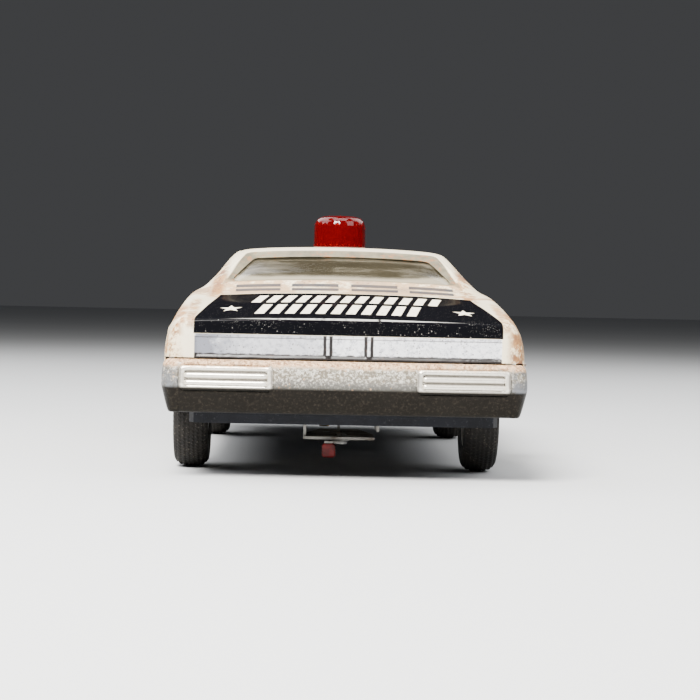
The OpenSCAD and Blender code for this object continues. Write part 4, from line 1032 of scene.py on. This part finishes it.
def metal(name, light, dark, rough=0.3, grain=3.0, stain=None, metallic=0.95):
    """Worn metal with scuffs, fine scratches and, where a stain colour is given, patches of it."""
    paint, scuff = two_tone(name, (grain, 5, 0.7), light, dark, Metallic=metallic)
    scratch = paint.noise(0.5, 3, 0.8, stretch=(0.15, 1, 1))
    roughness = scuff * 0.2 + scratch * 0.15 + rough - 0.15
    if stain:
        patch = paint.noise(grain * 1.6, 6, 0.75, seed=4.0).above(0.56, 0.07)
        paint.coat(patch * 0.8, stain)
        roughness = roughness + patch * 0.25
    return paint.finish(roughness, bump=scratch + scuff, depth=0.03, strength=0.8)


rubber = tyre_rubber()
wheel_silver = wheel_paint()
hub_plating = metal("hub_plating", (0.78, 0.77, 0.74), (0.55, 0.53, 0.5), 0.25, 4, (0.3, 0.2, 0.13))
rim = 10.4
rib_pitch = 1.35
inner_x = wheel_reach - tyre_width


def tyre_relief(radius, along, angle):
    """Knurled ribs round the tread, two raised rings and fine spokes of rubber on the side walls."""
    across = along - (wheel_reach + inner_x) / 2
    crown = step(radius, wheel_radius - 1.6, 0.6)
    groove = step(np.cos(across * 2 * math.pi / rib_pitch), 0.35, 0.7)
    offset = math.pi * np.round(across / rib_pitch)
    notch = step(np.cos(angle * 84 + offset), 0.3, 0.7)
    wall = band(radius, rim + 0.6, wheel_radius - 1.4, 0.5)
    rings = 0.14 * (1 - step(np.abs(radius - 15.2), 0.3, 0.3))
    rings = rings + 0.16 * (1 - step(np.abs(radius - 11.9), 0.3, 0.3))
    spokes = 0.08 * (0.5 + 0.5 * np.cos(angle * 60)) * band(radius, 12.5, 14.7, 0.4)
    tread = crown * (0.32 * groove + 0.26 * notch * (1 - groove))
    return radius - tread, along + np.sign(across) * wall * (rings + spokes)


def depths(*pairs):
    """An outline of [radius, along] from pairs of radius and depth under the tyre's outer face."""
    return [(radius, wheel_reach - depth) for radius, depth in pairs]


far = tyre_width
tyre_outline = depths(
    (rim, far - 0.6), (12.2, far - 0.15), (14.6, far), (16, far - 0.5), (16.9, far - 1.5), (17.35, far - 3),
    (wheel_radius, far / 2), (17.35, 3), (16.9, 1.5), (16, 0.5), (14.6, 0), (12.2, 0.15), (rim, 0.6),
    (rim + 0.05, far / 2))
disc_outline = depths(
    (1.5, 3.9), (3.2, 3.9), (4.2, 3.2), (6.4, 3.1), (7.2, 3.9), (8.6, 4.1), (9.2, 3.1), (9.7, 1.5),
    (10.2, 1.15), (10.45, 1.5), (10.4, 5.5), (10.4, 9.7), (9.9, 9.8), (9.6, 9.1), (9.5, 4.5), (3, 4.5),
    (3, 10.9), (1.5, 10.9))
cap_outline = depths(
    (0.02, 0.5), (1.6, 0.55), (3, 0.8), (3.8, 1.3), (4.2, 1.6), (5, 1.7), (5.7, 2.2), (6, 2.9), (5.6, 3.05),
    (4, 2.3), (0.02, 1.6))


def disc_relief(radius, along, angle):
    """Ten pressed slots round the disc."""
    slots = step(np.cos(angle * 10), 0.1, 0.9) * band(radius, 6.6, 8.9, 0.7) * (along > wheel_reach - 4.3)
    return radius, along - 0.55 * slots


tyre_mesh = lathe(resample(tyre_outline, 0.27, 2, closed=True), 504, tyre_relief)
disc_mesh = lathe(resample(disc_outline, 0.3, 1, closed=True), 160, disc_relief)
cap_mesh = lathe(resample(cap_outline, 0.25, 1, closed=True), 72)
wheel_kinds = [
    ("tyre", tyre_mesh, rubber, "tyre_rubber"),
    ("wheel_disc", disc_mesh, wheel_silver, "silver_tin"),
    ("hubcap", cap_mesh, hub_plating, "nickel_plating"),
]
for end, axle_y, slide in (("rear", rear_axle_y, rear_slide), ("front", front_axle_y, 0)):
    for side, side_name in ((-1, "left"), (1, "right")):
        for kind, (points, quads), material, slot_name in wheel_kinds:
            node = f"{kind}_{end}_{side_name}"
            placed = points * (side, 1, 1) + (slide, axle_y, wheel_radius)
            turned = new_object(f"{node}_turned", placed, quads[:, ::side].tolist(), [material])
            piece(turned, f"{end}_wheels", slot_name, node)


# ---------------------------------------------------------------- beacon
def beacon_plastic():
    """Clear red plastic."""
    paint = Paint("beacon_red", IOR=1.49, Transmission_Weight=0.75, Specular_IOR_Level=0.25)
    paint.colour = paint.mix(paint.noise(9, 3), (0.17, 0.0, 0.001), (0.27, 0.001, 0.002))
    return paint.finish(paint.noise(2, 4, 0.7) * 0.1 + 0.03, bump=paint.noise(3, 3), depth=0.03)


dome_top, dome_base = dome_high[2], dome_low[2]


def dome_relief(radius, along, angle):
    """Vertical flutes that fade out over the rounded top."""
    wall = (1 - step(along, dome_top - 2.8, 1.6)) * step(radius, beacon_radius - 1.9, 0.4)
    return radius - 0.09 * wall * (0.5 - 0.5 * np.cos(angle * 24)), along


edge_r = beacon_radius
dome_outline = [
    (0.02, dome_top - 0.1), (3.5, dome_top - 0.15), (5.6, dome_top - 0.35), (7.3, dome_top - 1),
    (8.3, dome_top - 2.1), (edge_r - 0.1, dome_top - 3.6), (edge_r, dome_base + 0.6), (edge_r, dome_base),
    (edge_r - 1.1, dome_base), (edge_r - 1.3, dome_top - 3.6), (6.6, dome_top - 1.9), (4, dome_top - 1.3),
    (0.02, dome_top - 1.2)]
dome_points, dome_quads = lathe(resample(dome_outline, 0.3, 2, closed=True), 320, dome_relief)
dome_points = dome_points[:, [1, 2, 0]] + (0, beacon_y, 0)
dome = new_object("beacon_lens", dome_points, dome_quads.tolist(), [beacon_plastic()])
piece(dome, "car", "red_plastic", "beacon_dome")


# ---------------------------------------------------------------- key
def rounded_plate(distance, low, high, spacing, half, edge):
    """A flat plate with rounded edges from a function of distance to its outline; closed, in the XY plane."""
    px, py = np.meshgrid(np.arange(low[0], high[0], spacing), np.arange(low[1], high[1], spacing))
    flat = np.stack([px, py, 0 * px], -1).reshape(-1, 3)
    top, faces = clip_mesh(flat, grid_faces(*px.shape), -distance(px, py).reshape(-1))
    d = distance(top[:, 0], top[:, 1])
    into = np.where(d > -0.01, 0, np.clip(-d / edge, 0, 1))
    top[:, 2] = half * np.sqrt(1 - (1 - into) ** 2)
    back = [[len(top) + i for i in face[::-1]] for face in faces]
    plate = bmesh.new()
    verts = [plate.verts.new(p) for p in np.concatenate([top, top * (1, 1, -1)])]
    for face in faces + back:
        plate.faces.new([verts[i] for i in face])
    bmesh.ops.remove_doubles(plate, verts=plate.verts, dist=0.001)
    plate.verts.index_update()
    points = np.array([v.co for v in plate.verts])
    faces = [[v.index for v in f.verts] for f in plate.faces]
    plate.free()
    return points, faces


plated_steel = metal("plated_steel", (0.66, 0.65, 0.62), (0.42, 0.40, 0.37), 0.32, 4, RUST)
key_out = key_high[0]
key_bow = key_out - 3.7


def key_outline(px, py):
    """Two eyes joined by a neck that narrows into the barrel; px is along the key."""
    eyes = np.hypot(px - key_bow, np.abs(py) - 6.2)
    bridge = rounded_box(px, py, (key_bow - 3.2, -7), (key_bow + 1.6, 7), 1.4)
    neck = rounded_box(px, py, (key_low[0] + 4.4, -2.3), (key_bow + 1, 2.3), 1.0)
    return np.maximum(np.minimum(np.minimum(eyes - 3.45, bridge), neck), 1.9 - eyes)


bow_points, bow_faces = rounded_plate(
    key_outline, (key_low[0] + 4, -10), (key_out + 0.3, 10), spacing=0.16, half=0.6, edge=0.35)
barrel_outline = [(1.3, key_low[0]), (2.3, key_low[0]), (2.5, key_low[0] + 0.3), (2.5, key_low[0] + 5.8),
                  (2.1, key_low[0] + 7.0), (1.3, key_low[0] + 7.3)]


def knurl(radius, along, angle):
    """Fine ribs round the key's barrel."""
    ribs = 0.12 * (0.5 + 0.5 * np.cos(angle * 24)) * band(along, key_low[0] + 0.8, key_low[0] + 3.6, 0.4)
    return radius - ribs * (radius > 2), along


barrel_points, barrel_quads = lathe(resample(barrel_outline, 0.15, 1, closed=True), 144, knurl)
key_points = np.concatenate([bow_points, barrel_points]) + (0, key_y, key_z)
key_faces = bow_faces + (barrel_quads + len(bow_points)).tolist()
key = new_object("winding_key_turned", key_points, key_faces, [plated_steel])
piece(key, "winding_shaft", "plated_steel", "winding_key")


# ---------------------------------------------------------------- red tab of the stop lever
def red_vinyl():
    """Soft red plastic sleeve, dirty from handling."""
    paint, dirt = two_tone(
        "red_vinyl", (2.5, 5, 0.7), (0.26, 0.012, 0.012), (0.10, 0.012, 0.012), soft=0.15,
        Specular_IOR_Level=0.4)
    return paint.finish(dirt * 0.3 + 0.35, bump=dirt, depth=0.06)


tab_low, tab_high = node_box("lever_tab")
tab_middle = (tab_low + tab_high) / 2
tab_half = (tab_high - tab_low) / 2


def tab_outline(px, py):
    """A rounded box with a slightly wavy edge."""
    d = rounded_box(px, py, (-tab_half[0], -tab_half[2]), (tab_half[0], tab_half[2]), 0.9)
    return d + 0.08 * np.cos(py * 2 * math.pi / 0.9)


tab_corner = tab_half[[0, 2]] + 0.3
tab_points, tab_faces = rounded_plate(
    tab_outline, -tab_corner, tab_corner, spacing=0.12, half=tab_half[1], edge=0.45)
tab_points = tab_points[:, [0, 2, 1]] * (1, -1, 1) + tab_middle
tab = new_object("lever_sleeve", tab_points, tab_faces, [red_vinyl()])
piece(tab, "stop_lever_group", "red_vinyl", "lever_tab")


# ---------------------------------------------------------------- cabin
def moulded(name, light, dark, rough=0.45):
    """Dull moulded plastic with dust."""
    paint, dust = two_tone(name, (9, 5, 0.65), light, dark, Specular_IOR_Level=0.4)
    paint.coat(paint.specks(0.5, 0.2, 2.0) * dust, (0.3, 0.28, 0.24))
    return paint.finish(dust * 0.2 + rough - 0.1, bump=paint.noise(0.5, 3), depth=0.04)


cabin_plastic = moulded("cabin_plastic", (0.16, 0.145, 0.11), (0.10, 0.09, 0.07))
black_plastic = moulded("black_plastic", (0.012, 0.012, 0.013), (0.03, 0.03, 0.03), 0.35)


def pleated_seat(name, node):
    """A bench lofted across the car with sewn-look pleats moulded into its back and cushion."""
    low, high = node_box(node)
    y0, z0 = low[1], low[2]
    corners = [(y0 + 1, z0), (y0 + 0.3, z0 + 14), (y0, z0 + 27), (y0 + 2, z0 + 28), (y0 + 4.6, z0 + 27.2),
               (y0 + 6, z0 + 21), (y0 + 7.2, z0 + 15.6), (y0 + 12, z0 + 15.2), (y0 + 17.2, z0 + 15.2),
               (y0 + 18.1, z0 + 12.6), (y0 + 17, z0)]
    line = resample(corners, 0.4, 6)
    across = np.linspace(low[0], high[0], 260)
    tangent = np.gradient(line, axis=0)
    normal = np.stack([-tangent[:, 1], tangent[:, 0]], 1)
    normal /= np.linalg.norm(normal, axis=1, keepdims=True)
    ends = step(np.abs(across), high[0] - 0.8, 1.6)
    gap = 1 - step(np.abs(across), 1.2, 1.0)
    soft = band(line[:, 1], z0 + 12.5, z0 + 27.5, 2)[:, None] * (line[:, 0] > y0 + 2.5)[:, None]
    pleat_pitch, sunk = 6.0, 0.55
    pleats = 0.5 * np.abs(np.sin(across * math.pi / pleat_pitch)) ** 0.6
    depth = soft * (pleats - sunk - 0.8 * gap) - 1.2 * ends
    y = line[:, :1] + normal[:, :1] * depth
    z = np.maximum(line[:, 1:] + normal[:, 1:] * depth, z0)
    points = np.stack([np.broadcast_to(across, y.shape), y, z], -1).reshape(-1, 3)
    count = len(across)
    quads = grid_faces(len(line), count)
    first, last = quads[:count - 1], quads[-count + 1:]
    under = np.stack([first[:, 1], first[:, 0], last[:, 3], last[:, 2]], 1)
    left_end = np.arange(len(line)) * count
    right_end = (left_end + count - 1)[::-1]
    faces = np.concatenate([quads, under]).tolist() + [left_end.tolist(), right_end.tolist()]
    bench = new_object(name, points, faces, [cabin_plastic])
    piece(bench, "car", "cabin_plastic", node)


pleated_seat("rear_bench", "rear_seat")
pleated_seat("front_bench", "front_seat")


# ---------------------------------------------------------------- finishes of the CAD's own pieces
def black_tin():
    """Black enamelled tin, dull and a little worn."""
    paint, scuff = two_tone(
        "black_tin", (8, 6, 0.7), (0.0025, 0.003, 0.005), (0.008, 0.009, 0.013), 0.52, 0.15,
        Specular_IOR_Level=0.2)
    worn = paint.noise(2.5, 6, 0.8, seed=3.0).above(0.62, 0.05)
    paint.coat(worn * 0.6, (0.05, 0.05, 0.055))
    paint.coat(paint.specks(0.5, 0.3, 2.0) * scuff, (0.08, 0.085, 0.10))
    return paint.finish(scuff * 0.25 + 0.4 + worn * 0.1, bump=scuff + worn * 0.3, depth=0.1)


brass = metal("brass", (0.62, 0.45, 0.18), (0.42, 0.29, 0.11), 0.3, 3, (0.16, 0.11, 0.05))
steel = metal("steel", (0.42, 0.42, 0.41), (0.26, 0.25, 0.24), 0.35, 3, (0.12, 0.08, 0.05))
motor_steel = metal(
    "motor_steel", (0.30, 0.29, 0.26), (0.20, 0.19, 0.17), 0.42, 5, (0.10, 0.07, 0.05), metallic=0.25)
blued_steel = metal("blued_steel", (0.09, 0.12, 0.20), (0.05, 0.06, 0.10), 0.28, 2, (0.10, 0.06, 0.04))
finishes = {
    black_tin(): ["chassis_pan"],
    cabin_plastic: ["interior_tray"],
    black_plastic: ["dashboard", "steering_wheel"],
    moulded("white_plastic", (0.7, 0.7, 0.66), (0.6, 0.58, 0.5)): ["beacon_base"],
    plated_steel: ["beacon_rivet", "bracket_rivets", "front_axle_bracket"],
    steel: ["rear_axle", "front_axle", "second_pinion", "third_pinion", "winding_arbor", "ratchet_wheel",
            "click", "motor_pillars", "motor_rivets", "lever_rivet"],
    motor_steel: ["motor_frame", "motor_plate_right", "stop_lever"],
    brass: ["great_wheel", "second_wheel", "third_wheel", "axle_pinion"],
    blued_steel: ["mainspring", "click_spring"],
}
for material, nodes in finishes.items():
    for node in nodes:
        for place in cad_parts[node].material_slots:
            place.material = material


# ---------------------------------------------------------------- floor and finish
def floor_material():
    """Plain pale studio floor."""
    paint = Paint("studio_floor", Roughness=0.8, Specular_IOR_Level=0.2)
    paint.colour = paint.mix(paint.noise(300, 2), (0.56, 0.57, 0.58), (0.60, 0.61, 0.62))
    return paint.finish()


floor_half, floor_near, floor_far = 4000, -3000, 6000
floor_corners = [(-floor_half, floor_near, 0), (floor_half, floor_near, 0),
                 (floor_half, floor_far, 0), (-floor_half, floor_far, 0)]
floor = new_object("floor", floor_corners, [(0, 1, 2, 3)], [floor_material()])
